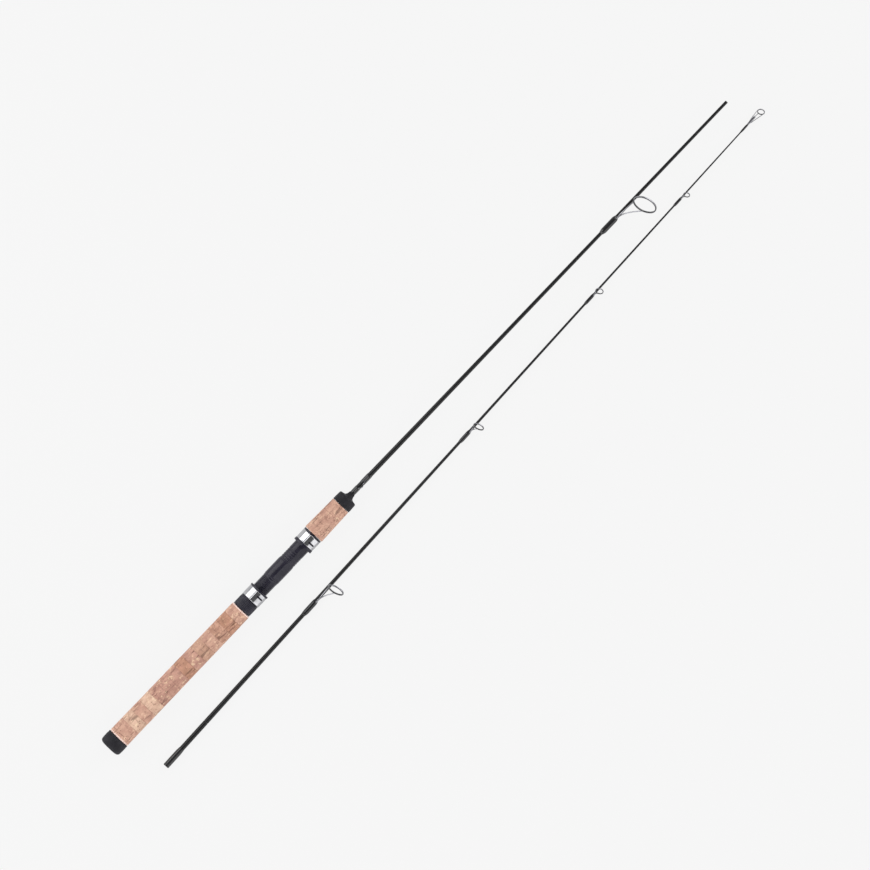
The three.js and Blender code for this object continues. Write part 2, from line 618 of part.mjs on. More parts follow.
function buttSection() {
  const section = new THREE.Group();
  const shellEnd = FRONT_SHELL_END;
  section.add(
    named('butt_cap', buttCap(), RUBBER),
    ...rearGrip(),
    named('reel_seat_tube', seatTube(), SEAT_PLASTIC),
    ...seatArbors(),
    named('lock_nut', lockNut(), SEAT_PLASTIC),
    named('movable_hood_shell', hoodShell(REAR_SHELL_START, REAR_SHELL_END, REAR_SHELL_END), HOOD_METAL),
    named('movable_hood_liner', movableHoodLiner(), SEAT_PLASTIC),
    named('fixed_hood_shell', hoodShell(FRONT_SHELL_START + 0.2, shellEnd, FRONT_SHELL_START), HOOD_METAL),
    named('fixed_hood_liner', hoodLiner(shellEnd - 0.3, FRONT_HOOD.mouth, FRONT_SHELL_START, shellEnd - 2.5,
      THREAD_CREST + GAP), SEAT_PLASTIC),
    named('seat_trim_ring', plainTube(shellEnd + 0.2, shellEnd + 0.2 + TRIM_RING.length, TRIM_RING.radius,
      THREAD_CREST + SNUG), SEAT_PLASTIC),
    ...foreGrip(),
    named('winding_check', windingCheck(), RUBBER),
    ...keeperNodes(),
    named('butt_blank', blank(BUTT_BLANK, BUTT_BLANK[0][0], SECTION_LENGTH), BLANK_CARBON),
    ...guideNodes('stripper_guide', BUTT_BLANK, STRIPPER),
  );
  return section;
}

function tipSection() {
  const section = new THREE.Group();
  const socketEnd = FERRULE_DEPTH + 2;
  const blankEnd = TIP_BLANK.at(-1)[0];
  const sleeve = turnedTube(
    [[0, FERRULE_SLEEVE.radius - 0.4], [0.6, FERRULE_SLEEVE.radius],
      [FERRULE_SLEEVE.length - 4, FERRULE_SLEEVE.radius],
      [FERRULE_SLEEVE.length, radiusAt(TIP_BLANK, FERRULE_SLEEVE.length) + 0.25]],
    [[0, TIP_BLANK[0][1] + SNUG], [FERRULE_SLEEVE.length, TIP_BLANK[0][1] + SNUG]]);
  section.add(
    named('ferrule_sleeve', sleeve, WRAP_THREAD),
    named('tip_blank_socket', blank(TIP_BLANK, 0, socketEnd,
      [[0, SOCKET_BORE[0]], [FERRULE_DEPTH, SOCKET_BORE[1]], [socketEnd, SOCKET_BORE[1]]]), BLANK_CARBON),
    named('tip_blank', blank(TIP_BLANK, socketEnd + SNUG, blankEnd), BLANK_CARBON),
    ...RUNNING_GUIDES.flatMap((guide, i) => guideNodes(`running_guide_${i + 1}`, TIP_BLANK, guide)),
    ...tipTopNodes(),
  );
  return section;
}

const rod = new THREE.Group();
rod.name = 'spinning_rod';

const butt = buttSection();
butt.rotation.x = ROLL;
butt.position.z = CAP_RADIUS * Math.cos(Math.PI / SIDES);

const tip = new THREE.Group();
const rolledTip = tipSection();
rolledTip.rotation.x = ROLL;
tip.add(rolledTip);
tip.rotation.z = TIP_SECTION_YAW;
tip.position.set(TIP_SECTION_START.x, TIP_SECTION_START.y, FERRULE_SLEEVE.radius * Math.cos(Math.PI / SIDES));

const laidOut = new THREE.Group();
laidOut.add(butt, tip);
rod.add(laidOut);

// The origin goes to the middle of the box around both sections, at the bottom.
rod.updateMatrixWorld(true);
const bounds = new THREE.Box3().setFromObject(laidOut, true);
const middle = bounds.getCenter(new THREE.Vector3());
laidOut.position.set(-middle.x, -middle.y, -bounds.min.z);

export default rod;
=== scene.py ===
"""A two-piece spinning rod, taken apart and lying on a pale surface, seen from straight above."""

import json
import math

import bpy
import numpy as np
from mathutils import Matrix, Vector


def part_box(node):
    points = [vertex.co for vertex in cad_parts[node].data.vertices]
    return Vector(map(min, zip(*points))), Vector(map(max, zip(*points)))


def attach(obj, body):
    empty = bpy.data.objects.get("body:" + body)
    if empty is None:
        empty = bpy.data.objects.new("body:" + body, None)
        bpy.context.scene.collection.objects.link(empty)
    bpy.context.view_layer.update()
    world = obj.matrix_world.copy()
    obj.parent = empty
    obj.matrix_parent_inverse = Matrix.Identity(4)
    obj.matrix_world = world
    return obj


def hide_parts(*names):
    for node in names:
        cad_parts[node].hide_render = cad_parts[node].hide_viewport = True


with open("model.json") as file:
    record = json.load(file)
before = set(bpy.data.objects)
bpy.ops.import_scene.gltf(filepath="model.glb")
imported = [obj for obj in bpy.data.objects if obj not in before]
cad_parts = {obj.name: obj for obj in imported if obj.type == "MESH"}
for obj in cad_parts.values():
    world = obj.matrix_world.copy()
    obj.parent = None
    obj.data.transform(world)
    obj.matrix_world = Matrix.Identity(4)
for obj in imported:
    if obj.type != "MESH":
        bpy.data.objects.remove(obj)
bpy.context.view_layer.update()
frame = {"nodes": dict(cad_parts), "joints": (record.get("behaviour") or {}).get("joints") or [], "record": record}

MM = 0.001

# ---------------------------------------------------------------- where the two sections lie

JOINTS = {joint["name"]: joint for joint in frame["joints"]}
MOUNTS = {mount["name"]: mount for mount in frame["record"]["mounts"]}


def centre_of(node):
    low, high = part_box(node)
    return (low + high) / 2


def section_frame(origin, along):
    """The matrix of a section: x runs along it from its thick end, z is straight up."""
    yaw = math.atan2(along[1], along[0])
    return Matrix.Translation(origin) @ Matrix.Rotation(yaw, 4, "Z")


# Both sections lie rolled about their length. A piece is drawn with z towards the guides, then rolled.
GUIDE_SIDE = Vector(MOUNTS["reel_seat"]["axis"])
ROLL = Matrix.Rotation(math.atan2(-GUIDE_SIDE.y, GUIDE_SIDE.z), 3, "X")

butt_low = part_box("butt_cap")[0]
butt_axis = centre_of("butt_cap")
BUTT = section_frame(Vector((butt_low.x, butt_axis.y, butt_axis.z)), (1, 0))

TIP_ALONG = Vector(JOINTS["tip_section_pull"]["axis"])
SLEEVE_LENGTH = 24.4
TIP = section_frame(centre_of("ferrule_sleeve") - TIP_ALONG * (SLEEVE_LENGTH / 2 * MM), TIP_ALONG)


def local_centre(node, section):
    """A node's centre as seen in its section before it is rolled, in mm."""
    return ROLL.inverted() @ (section.inverted() @ centre_of(node)) / MM


def rolled(points):
    """Rolls points in mm with their section, and turns them into metres."""
    return points @ np.array(ROLL).T * MM


def squared(section):
    """The section's place without its turn on the floor, and that turn, which goes into the mesh instead."""
    return Matrix.Translation(section.translation), np.array(section.to_3x3())


def span(node):
    """Where a node of the butt section starts and ends along it, in mm."""
    low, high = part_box(node)
    return (low.x - butt_low.x) / MM, (high.x - butt_low.x) / MM


# ---------------------------------------------------------------- mesh making, in mm in a section's frame

FACET = math.cos(math.pi / 24)  # how far the flats of a 24-sided CAD piece lie inside its corners


def circle_row(x, radius, sides):
    """One ring of points about the x axis. radius may be an array with a value for each point."""
    angle = np.arange(sides) * 2 * math.pi / sides
    return np.stack([np.full(sides, float(x)), -radius * np.sin(angle), radius * np.cos(angle)], axis=1)


def skin(rows, closed):
    """Points and faces of the surface through rings of points. An open one is closed by a fan at each end."""
    rows = np.asarray(rows, dtype=float)
    count, sides = rows.shape[:2]
    points = rows.reshape(-1, 3)
    index = np.arange(count * sides).reshape(count, sides)
    if closed:
        index = np.vstack([index, index[:1]])
    a, b = index[:-1], index[1:]
    faces = np.stack([a, np.roll(a, -1, 1), np.roll(b, -1, 1), b], axis=-1).reshape(-1, 4).tolist()
    if not closed:
        ends = np.array([rows[0].mean(0), rows[-1].mean(0)])
        points = np.vstack([points, ends])
        first, last = count * sides, count * sides + 1
        for i in range(sides):
            j = (i + 1) % sides
            faces.append([first, index[0, j], index[0, i]])
            faces.append([last, index[-1, i], index[-1, j]])
    return points, faces


def facing_out(points, faces):
    """Turns all faces over if the closed surface is inside out."""
    volume = 0.0
    for corners in (3, 4):
        same = [face for face in faces if len(face) == corners]
        if not same:
            continue
        places = points[np.array(same)]
        for i in range(1, corners - 1):
            volume += np.einsum("ij,ij->", places[:, 0], np.cross(places[:, i], places[:, i + 1]))
    return faces if volume > 0 else [face[::-1] for face in faces]


def piece(name, shells, section, body, node, material, sharp=40, attribute=None, square=False):
    """Makes an object from closed shells of (points, faces) in mm, to stand for a CAD node. Edges over sharp
    degrees stay crisp. attribute is a (name, value for each point) that the material reads."""
    all_points, all_faces, start = [], [], 0
    for points, faces in shells:
        all_faces += [[i + start for i in face] for face in facing_out(points, faces)]
        all_points.append(points)
        start += len(points)
    mesh = bpy.data.meshes.new(name)
    places, matrix = rolled(np.vstack(all_points)), section
    if square:
        matrix, turn = squared(section)
        places = places @ turn.T
    mesh.from_pydata(places.tolist(), [], all_faces)
    mesh.polygons.foreach_set("use_smooth", [True] * len(mesh.polygons))
    mesh.set_sharp_from_angle(angle=math.radians(sharp))
    if attribute is not None:
        attribute_name, values = attribute
        layer = mesh.attributes.new(attribute_name, "FLOAT", "POINT")
        layer.data.foreach_set("value", np.resize(values, len(mesh.vertices)).astype(np.float32))
    mesh.materials.append(material)
    obj = bpy.data.objects.new(name, mesh)
    bpy.context.scene.collection.objects.link(obj)
    obj.matrix_world = matrix
    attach(obj, body)
    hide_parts(node)
    return obj


def rounded(profile, radius, steps=4):
    """The profile of (x, r) points with its inner corners rounded. radius is one number, or one per point."""
    points = [Vector(p) for p in profile]
    radii = radius if isinstance(radius, (list, tuple)) else [radius] * len(points)
    out = [tuple(points[0])]
    for before, corner, after, size in zip(points, points[1:], points[2:], radii[1:]):
        to_before, to_after = before - corner, after - corner
        reach = min(size, to_before.length * 0.49, to_after.length * 0.49)
        if reach < 1e-4:
            out.append(tuple(corner))
            continue
        start = corner + to_before.normalized() * reach
        end = corner + to_after.normalized() * reach
        for i in range(steps + 1):
            t = i / steps
            out.append(tuple(start * (1 - t) ** 2 + corner * 2 * t * (1 - t) + end * t ** 2))
    out.append(tuple(points[-1]))
    return out


def turned(profile, sides=96):
    """A turned solid. The profile starts and ends on the axis."""
    rows = [circle_row(x, r, sides) for x, r in profile if r > 1e-6]
    return skin(rows, closed=False)


def turned_tube(outer, bore, sides=96):
    """A turned tube: the outer profile, and the bore's profile, both from rear to front."""
    rows = [circle_row(x, r, sides) for x, r in list(outer) + list(reversed(bore))]
    return skin(rows, closed=True)


def field_tube(stations, radius, bore, sides):
    """A tube whose outer radius is radius(x, angles). Angles run round from the guides' side."""
    angles = np.arange(sides) * 2 * math.pi / sides
    rows = [circle_row(x, radius(x, angles), sides) for x in stations]
    rows += [circle_row(x, bore(x, angles), sides) for x in reversed(stations)]
    return skin(rows, closed=True)


def swept(path, radius, sides=16, flatten=None):
    """A wire with round ends along a path. radius may be a list with one per point. flatten is such a list,
    of the wire's height over its width."""
    path = [Vector(p) for p in path]
    count = len(path)
    radii = radius if isinstance(radius, (list, tuple)) else [radius] * count
    squash = flatten if flatten is not None else [1.0] * count
    tangents = [(path[min(i + 1, count - 1)] - path[max(i - 1, 0)]).normalized() for i in range(count)]
    normal = Vector((0, 0, 1)) - tangents[0] * tangents[0].z
    if normal.length < 1e-3:
        normal = Vector((0, 1, 0))
    normal.normalize()
    rows = []
    for i, (point, tangent) in enumerate(zip(path, tangents)):
        normal = (normal - tangent * normal.dot(tangent)).normalized()
        across = tangent.cross(normal)
        caps = [(0.0, 1.0)]
        if i == 0:
            caps = [(-math.cos(a), math.sin(a)) for a in (0.35, 0.8, 1.2, math.pi / 2)]
        if i == count - 1:
            caps = [(math.cos(a), math.sin(a)) for a in (math.pi / 2, 1.2, 0.8, 0.35)]
        for shift, share in caps:
            centre = point + tangent * (shift * radii[i] * squash[i])
            row = []
            reach = radii[i] * share
            for k in range(sides):
                angle = 2 * math.pi * k / sides
                side, up = reach * math.cos(angle), reach * squash[i] * math.sin(angle)
                row.append(centre + across * side + normal * up)
            rows.append(row)
    return skin(rows, closed=False)


def bezier(points, count):
    """Points along a Bezier curve with any number of control points."""
    out = []
    for i in range(count + 1):
        t = i / count
        level = [Vector(p) for p in points]
        while len(level) > 1:
            level = [a.lerp(b, t) for a, b in zip(level, level[1:])]
        out.append(level[0])
    return out


def smooth_path(points, count):
    """A smooth curve through points."""
    points = [Vector(p) for p in points]
    ends = [points[0] * 2 - points[1]] + points + [points[-1] * 2 - points[-2]]
    out = []
    for a, b, c, d in zip(ends, ends[1:], ends[2:], ends[3:]):
        for i in range(count):
            t = i / count
            out.append(0.5 * (2 * b + (c - a) * t + (2 * a - 5 * b + 4 * c - d) * t ** 2
                              + (3 * b - a - 3 * c + d) * t ** 3))
    out.append(points[-1])
    return out


def smoothstep(x):
    x = np.clip(x, 0.0, 1.0)
    return x * x * (3 - 2 * x)


# ---------------------------------------------------------------- materials


class Shader:
    """A material's node tree, with short calls for the nodes used here."""

    def __init__(self, name):
        self.material = bpy.data.materials.new(name)
        self.material.use_nodes = True
        self.tree = self.material.node_tree
        self.surface = self.tree.nodes["Principled BSDF"]

    def node(self, kind, inputs=None, **settings):
        made = self.tree.nodes.new("ShaderNode" + kind)
        for key, value in settings.items():
            setattr(made, key, value)
        for key, value in (inputs or {}).items():
            if hasattr(value, "links"):
                self.tree.links.new(value, made.inputs[key])
            else:
                made.inputs[key].default_value = value
        return made

    def set(self, **inputs):
        for key, value in inputs.items():
            socket = self.surface.inputs[key.replace("_", " ")]
            if hasattr(value, "links"):
                self.tree.links.new(value, socket)
            else:
                socket.default_value = value

    def coordinates(self, scale=(1, 1, 1), offset=(0, 0, 0)):
        """The piece's own coordinates, in metres along and across the rod."""
        source = self.node("TexCoord").outputs["Object"]
        return self.node("Mapping", {"Vector": source, "Scale": scale, "Location": offset}).outputs["Vector"]

    def noise(self, scale, vector, detail=4.0, roughness=0.55, distortion=0.0):
        made = self.node("TexNoise", {"Vector": vector, "Scale": scale, "Detail": detail,
                                      "Roughness": roughness, "Distortion": distortion})
        return made.outputs["Fac"]

    def levels(self, factor, low, high, out_low=0.0, out_high=1.0):
        """Maps low to high on to out_low to out_high, smoothly, and holds the ends."""
        made = self.node("MapRange", {"Value": factor, "From Min": low, "From Max": high,
                                      "To Min": out_low, "To Max": out_high}, interpolation_type="SMOOTHSTEP")
        return made.outputs["Result"]

    def math(self, operation, a, b=0.0):
        made = self.node("Math", {0: a, 1: b}, operation=operation)
        return made.outputs["Value"]

    def mix(self, factor, a, b):
        made = self.node("Mix", data_type="RGBA")
        for key, value in ((0, factor), (6, a), (7, b)):
            if hasattr(value, "links"):
                self.tree.links.new(value, made.inputs[key])
            elif key == 0:
                made.inputs[key].default_value = value
            else:
                made.inputs[key].default_value = (*value, 1)
        return made.outputs[2]

    def bump(self, height, distance, strength=1.0):
        made = self.node("Bump", {"Height": height, "Distance": distance, "Strength": strength})
        return made.outputs["Normal"]


def cork_material(name, tone, shade, fleck, offset):
    """Natural cork: a warm tone that wanders, growth streaks along the grip, fine grain and dark pits, and a
    painted highlight, a light pink band on the edges that the attribute marks.
    """
    s = Shader(name)
    wide = s.noise(150, s.coordinates((0.6, 1, 1), offset), detail=3, roughness=0.6)
    blotch = s.noise(300, s.coordinates((1.1, 0.55, 0.55), offset), detail=4, roughness=0.6, distortion=0.6)
    streak = s.noise(300, s.coordinates((0.15, 1, 1), offset), detail=4, roughness=0.6, distortion=0.5)
    grain = s.noise(2600, s.coordinates((1, 1, 1), offset), detail=3, roughness=0.7)
    colour = s.mix(s.levels(wide, 0.36, 0.66), tone, shade)
    colour = s.mix(s.levels(blotch, 0.52, 0.68, 0, 0.6), colour, tuple(c * 0.66 for c in shade))
    light = s.noise(240, s.coordinates((0.8, 1, 1), tuple(c + 0.37 for c in offset)), detail=3)
    colour = s.mix(s.levels(light, 0.56, 0.7, 0, 0.8), colour, fleck)
    colour = s.mix(s.levels(streak, 0.56, 0.65, 0, 0.85), colour, tuple(c * 0.5 for c in shade))
    colour = s.mix(s.levels(grain, 0.55, 0.8, 0, 0.2), colour, tuple(c * 0.55 for c in shade))
    pit_and_rim_highlight = s.node("Attribute", attribute_name="pit_and_rim_highlight").outputs["Fac"]
    # Painted highlight: where the attribute is negative, the edge of an end ring is painted light pink, standing
    # in for light caught on its rounded edge.
    colour = s.mix(s.levels(s.math("MULTIPLY", pit_and_rim_highlight, -1.0), 0.1, 0.9, 0, 0.65), colour, (0.92, 0.72, 0.66))
    colour = s.mix(s.levels(pit_and_rim_highlight, 0.12, 0.75, 0, 0.75), colour, (0.17, 0.085, 0.06))
    roughness = s.levels(grain, 0.2, 0.8, 0.72, 0.92)
    height = s.math("ADD", s.math("MULTIPLY", grain, 0.6), s.math("MULTIPLY", streak, 0.4))
    s.set(Base_Color=colour, Roughness=roughness, Specular_IOR_Level=0.25,
          Normal=s.bump(height, 0.00018, 0.7))
    return s.material


def rubber_material():
    """Matt black rubber, lightly scuffed."""
    s = Shader("rubber")
    wide = s.noise(140, s.coordinates(), detail=3)
    grain = s.noise(4200, s.coordinates(), detail=2, roughness=0.6)
    scuff = s.levels(s.noise(700, s.coordinates((0.3, 1, 1)), detail=5, roughness=0.7), 0.6, 0.78)
    colour = s.mix(s.levels(wide, 0.3, 0.7), (0.012, 0.0115, 0.0145), (0.021, 0.02, 0.025))
    colour = s.mix(s.math("MULTIPLY", scuff, 0.35), colour, (0.07, 0.068, 0.072))
    s.set(Base_Color=colour, Roughness=s.levels(grain, 0.2, 0.8, 0.5, 0.68), Specular_IOR_Level=0.18,
          Normal=s.bump(grain, 0.00005, 0.5))
    return s.material


def seat_material():
    """Moulded graphite-filled plastic, satin, a little blue."""
    s = Shader("seat_plastic")
    wide = s.noise(120, s.coordinates(), detail=3)
    grain = s.noise(3800, s.coordinates((0.4, 1, 1)), detail=3, roughness=0.65)
    colour = s.mix(s.levels(wide, 0.3, 0.7), (0.012, 0.011, 0.02), (0.023, 0.021, 0.033))
    colour = s.mix(s.levels(grain, 0.6, 0.85, 0, 0.4), colour, (0.075, 0.072, 0.09))
    s.set(Base_Color=colour, Roughness=s.levels(grain, 0.2, 0.8, 0.22, 0.34), Specular_IOR_Level=0.28,
          Normal=s.bump(grain, 0.00003, 0.4))
    return s.material


def hood_material():
    """Bright plated metal: polished, with fine lines round it and a few hairline scratches along it."""
    s = Shader("hood_metal")
    lines = s.noise(5200, s.coordinates((1, 0.05, 0.05)), detail=3, roughness=0.7)
    cloud = s.noise(190, s.coordinates(), detail=4)
    scratch = s.levels(s.noise(2600, s.coordinates((0.06, 1, 1)), detail=2, distortion=0.6), 0.68, 0.74)
    colour = s.mix(s.levels(cloud, 0.35, 0.7), (0.50, 0.50, 0.515), (0.41, 0.41, 0.43))
    colour = s.mix(s.math("MULTIPLY", scratch, 0.4), colour, (0.36, 0.36, 0.38))
    roughness = s.math("ADD", s.levels(lines, 0.3, 0.75, 0.07, 0.17), s.math("MULTIPLY", scratch, 0.15))
    s.set(Base_Color=colour, Metallic=1.0, Roughness=roughness, Normal=s.bump(lines, 0.00001, 0.35))
    return s.material


def guide_material():
    """The guides' stainless wire, polished, its tone wandering a little."""
    s = Shader("guide_metal")
    cloud = s.noise(900, s.coordinates(), detail=4, roughness=0.6)
    lines = s.noise(6000, s.coordinates((0.15, 1, 1)), detail=2)
    colour = s.mix(s.levels(cloud, 0.35, 0.7), (0.32, 0.32, 0.34), (0.19, 0.19, 0.21))
    s.set(Base_Color=colour, Metallic=1.0, Roughness=s.levels(lines, 0.2, 0.8, 0.12, 0.28),
          Normal=s.bump(lines, 0.000008, 0.4))
    return s.material


def ceramic_material():
    """The guides' polished dark rings."""
    s = Shader("guide_ceramic")
    cloud = s.noise(700, s.coordinates(), detail=3)
    grain = s.noise(7000, s.coordinates(), detail=2)
    colour = s.mix(s.levels(cloud, 0.3, 0.7), (0.02, 0.021, 0.023), (0.04, 0.042, 0.045))
    s.set(Base_Color=colour, Roughness=s.levels(grain, 0.2, 0.8, 0.1, 0.2), Specular_IOR_Level=0.6,
          Normal=s.bump(grain, 0.000006, 0.3))
    return s.material


def blank_material():
    """Graphite under clear varnish: fibres along it, and the faint spiral that the wrapping tape leaves."""
    s = Shader("blank")
    fibre = s.noise(5200, s.coordinates((0.02, 1, 1)), detail=4, roughness=0.7)
    cloud = s.noise(60, s.coordinates((0.5, 1, 1)), detail=4)
    source = s.node("TexCoord")
    place = s.node("SeparateXYZ", {"Vector": source.outputs["Object"]}).outputs
    turn = s.math("DIVIDE", s.math("ARCTAN2", place["Y"], place["Z"]), 2 * math.pi)
    spiral = s.math("SINE", s.math("MULTIPLY", s.math("SUBTRACT", s.math("DIVIDE", place["X"], 0.0022), turn),
                                   2 * math.pi))
    colour = s.mix(s.levels(fibre, 0.4, 0.8), (0.005, 0.005, 0.0055), (0.016, 0.016, 0.017))
    colour = s.mix(s.levels(cloud, 0.35, 0.7, 0, 0.5), colour, (0.003, 0.003, 0.0035))
    colour = s.mix(s.levels(spiral, 0.2, 1.0, 0, 0.25), colour, (0.028, 0.028, 0.03))
    height = s.math("ADD", s.math("MULTIPLY", spiral, 0.5), s.math("MULTIPLY", fibre, 0.35))
    s.set(Base_Color=colour, Roughness=s.levels(fibre, 0.2, 0.8, 0.3, 0.42), Specular_IOR_Level=0.22,
          Coat_Weight=0.2, Coat_Roughness=0.14, Normal=s.bump(height, 0.00002, 0.6))
    return s.material


def thread_material(name, dark, light):
    """Fine thread laid side by side under a thick clear coat."""
    s = Shader(name)
    source = s.node("TexCoord")
    place = s.node("SeparateXYZ", {"Vector": source.outputs["Object"]}).outputs
    strand = s.math("SINE", s.math("MULTIPLY", place["X"], 2 * math.pi / 0.00022))
    wander = s.noise(1300, s.coordinates((1, 0.3, 0.3)), detail=3)
    colour = s.mix(s.levels(strand, -0.6, 1.0), dark, light)
    colour = s.mix(s.levels(wander, 0.45, 0.75, 0, 0.6), colour, dark)
    s.set(Base_Color=colour, Roughness=s.levels(wander, 0.2, 0.8, 0.4, 0.6), Specular_IOR_Level=0.1,
          Coat_Weight=1.0, Coat_Roughness=0.05, Normal=s.bump(strand, 0.00002, 0.4))
    return s.material


def foam_material():
    """The arbors' open foam."""
    s = Shader("arbor_foam")
    cell = s.node("TexVoronoi", {"Vector": s.coordinates(), "Scale": 1500.0}).outputs["Distance"]
    colour = s.mix(s.levels(cell, 0.1, 0.6), (0.52, 0.48, 0.4), (0.66, 0.62, 0.54))
    s.set(Base_Color=colour, Roughness=0.95, Normal=s.bump(cell, 0.0001, 0.6))
    return s.material


# tone, shade and fleck of each kind of cork ring, and where in the pattern it is cut from
CORK_KINDS = {
    "pale": ((0.68, 0.46, 0.34), (0.54, 0.34, 0.25), (0.82, 0.62, 0.43), (0.0, 0.1, 0.2)),
    "plain": ((0.58, 0.35, 0.26), (0.45, 0.25, 0.19), (0.73, 0.50, 0.35), (0.3, 0.5, 0.1)),
    "tan": ((0.55, 0.33, 0.24), (0.42, 0.24, 0.17), (0.69, 0.47, 0.32), (0.5, 0.3, 0.9)),
    "rose": ((0.53, 0.30, 0.23), (0.41, 0.22, 0.17), (0.78, 0.58, 0.38), (0.7, 0.2, 0.6)),
    "amber": ((0.51, 0.27, 0.19), (0.40, 0.21, 0.14), (0.70, 0.46, 0.29), (0.9, 0.8, 0.4)),
    "dusky": ((0.56, 0.32, 0.23), (0.39, 0.21, 0.15), (0.74, 0.48, 0.33), (0.2, 0.9, 0.8)),
}
CORK = {kind: cork_material(f"cork_{kind}", *looks) for kind, looks in CORK_KINDS.items()}
RUBBER = rubber_material()
SEAT = seat_material()
HOOD_METAL = hood_material()
GUIDE_METAL = guide_material()
CERAMIC = ceramic_material()
BLANK = blank_material()
THREAD = thread_material("thread_wrap", (0.004, 0.004, 0.005), (0.012, 0.012, 0.014))
SLEEVE = thread_material("sleeve_wrap", (0.005, 0.005, 0.006), (0.016, 0.016, 0.018))
FOAM = foam_material()

# ---------------------------------------------------------------- grips

CORK_SIDES = 144
REAR_GRIP_RADII = (12.35, 11.7)
FORE_GRIP_RADII = (11.9, 10.95)
REAR_GRIP = (7.0, 199.0)
CORK_BORE = 3.9
PIT_DEPTH = 0.42
RIM_HIGHLIGHT = -1.0  # the attribute's value where the edge of an end ring gets a painted highlight


def cork_pits(rng, stations, sides, length, count, strength):
    """How deep each point of a ring's surface is pitted, from 0 to 1. The pits run along the grip."""
    x = np.asarray(stations)[:, None]
    angle = (np.arange(sides) * 2 * math.pi / sides)[None, :]
    depth = np.zeros((len(stations), sides))
    for _ in range(count):
        middle, around = rng.uniform(0, length), rng.uniform(0, 2 * math.pi)
        long_half = rng.choice([0.7, 1.3, 2.4, 4.5], p=[0.4, 0.3, 0.2, 0.1]) * rng.uniform(0.7, 1.3)
        wide_half = rng.uniform(0.22, 0.55)
        lean = rng.normal(0, 0.05)
        wave = rng.uniform(0.1, 0.35) * np.sin(x * rng.uniform(0.8, 2.2) + rng.uniform(0, 6))
        across = (np.angle(np.exp(1j * (angle - around)))) * 12 - (x - stations[0] - middle) * lean - wave
        reach = ((x - stations[0] - middle) / long_half) ** 2 + (across / wide_half) ** 2
        depth = np.maximum(depth, rng.uniform(0.5, 1.0) * np.exp(-reach ** 1.3))
    return depth * strength


def cork_ring(node, number, tone, radii, grip, tenon=None, rim_at=None):
    """One ring of a grip. tenon is (end of the smaller part, its radius) on the ring that goes into the butt
    cap. rim_at is -1 or 1 where the ring's rear or front edge gets a painted highlight, a light pink band."""
    start, end = span(node)
    visible = tenon[0] if tenon else start
    taper = (radii[1] - radii[0]) / (grip[1] - grip[0])
    stations = np.linspace(visible, end, 34)
    rng = np.random.default_rng(400 + number)
    pits = cork_pits(rng, stations, CORK_SIDES, end - visible, int(rng.integers(16, 30)), 1.0)
    angles = np.arange(CORK_SIDES) * 2 * math.pi / CORK_SIDES
    sanded = 0.04 * np.sin(angles * 3 + number) + 0.03 * np.sin(angles * 7 + 2 * number)
    rows, values = [], []
    for x, pit_and_rim_highlight in zip(stations, pits):
        near = min(x - visible, end - x)
        ease = 0.18 * max(0.0, 1 - near / 0.35) ** 2
        radius = FACET * (radii[0] + (x - grip[0]) * taper)
        rows.append(circle_row(x, radius - 0.07 + sanded - ease - PIT_DEPTH * pit_and_rim_highlight, CORK_SIDES))
        # Painted highlight: within 1.5 mm of the rim_at edge, wherever no deep pit lies, the attribute marks the
        # light pink band that stands in for light on the ring's edge.
        pale = rim_at is not None and abs(x - (visible if rim_at < 0 else end)) < 1.5
        values.append(np.where(pit_and_rim_highlight > 0.25, pit_and_rim_highlight, RIM_HIGHLIGHT) if pale else np.maximum(pit_and_rim_highlight, 0.3 * (near < 0.2)))
    inner = [(end, CORK_BORE), (start, CORK_BORE)]
    if tenon:
        inner += [(start, tenon[1]), tenon]
    for x, r in inner:
        rows.append(circle_row(x, r, CORK_SIDES))
        values.append(np.zeros(CORK_SIDES))
    piece(f"{node}_cork", [skin(rows, closed=True)], BUTT, "butt_section", node, CORK[tone], sharp=50,
          attribute=("pit_and_rim_highlight", np.concatenate(values)))


REAR_TONES = "plain plain pale plain pale rose rose rose amber rose tan plain dusky amber plain".split()
FORE_TONES = ("plain", "plain", "plain")


def grips():
    cap_end = span("butt_cap")[1]
    for i, tone in enumerate(REAR_TONES):
        tenon = (cap_end + 0.3, 10.8) if i == 0 else None
        # The first and last rear rings get the painted highlight on their outer edges.
        rim_at = {0: -1, len(REAR_TONES) - 1: 1}.get(i)
        cork_ring(f"rear_cork_ring_{i + 1:02d}", i, tone, REAR_GRIP_RADII, REAR_GRIP, tenon, rim_at)
    fore = (span("fore_cork_ring_1")[0], span("fore_cork_ring_3")[1] + 0.1)
    for i, tone in enumerate(FORE_TONES):
        cork_ring(f"fore_cork_ring_{i + 1}", 30 + i, tone, FORE_GRIP_RADII, fore)


def butt_cap():
    """The rubber cap: a domed end, a soft edge, and a moulded line round the mouth."""
    start, end = span("butt_cap")
    low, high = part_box("butt_cap")
    r = (high.z - low.z) / 2 / MM
    outer = [(start + 0.35, 0.01), (start + 0.33, 3.0), (start + 0.02, 3.6), (start, 8.1),
             (start + 0.5, r - 2.4), (start + 1.6, r - 0.9), (start + 3.2, r - 0.25), (start + 8, r),
             (end - 2.6, r - 0.08), (end - 2.4, r - 0.3), (end - 2.0, r - 0.3), (end - 1.8, r - 0.08),
             (end - 0.5, r - 0.1), (end, r - 0.45)]
    inner = [(end, 11.15), (start + 5, 11.15), (start + 5, 0.01)]
    corners = [0, 0.1, 0.3, 2.5, 1, 1, 2, 4, 0.3, 0.1, 0.1, 0.3, 0.4, 0.4, 0.2, 0.4, 0]
    profile = rounded(outer + inner, corners, 5)
    piece("butt_cap_rubber", [turned(profile, 128)], BUTT, "butt_section", "butt_cap", RUBBER)


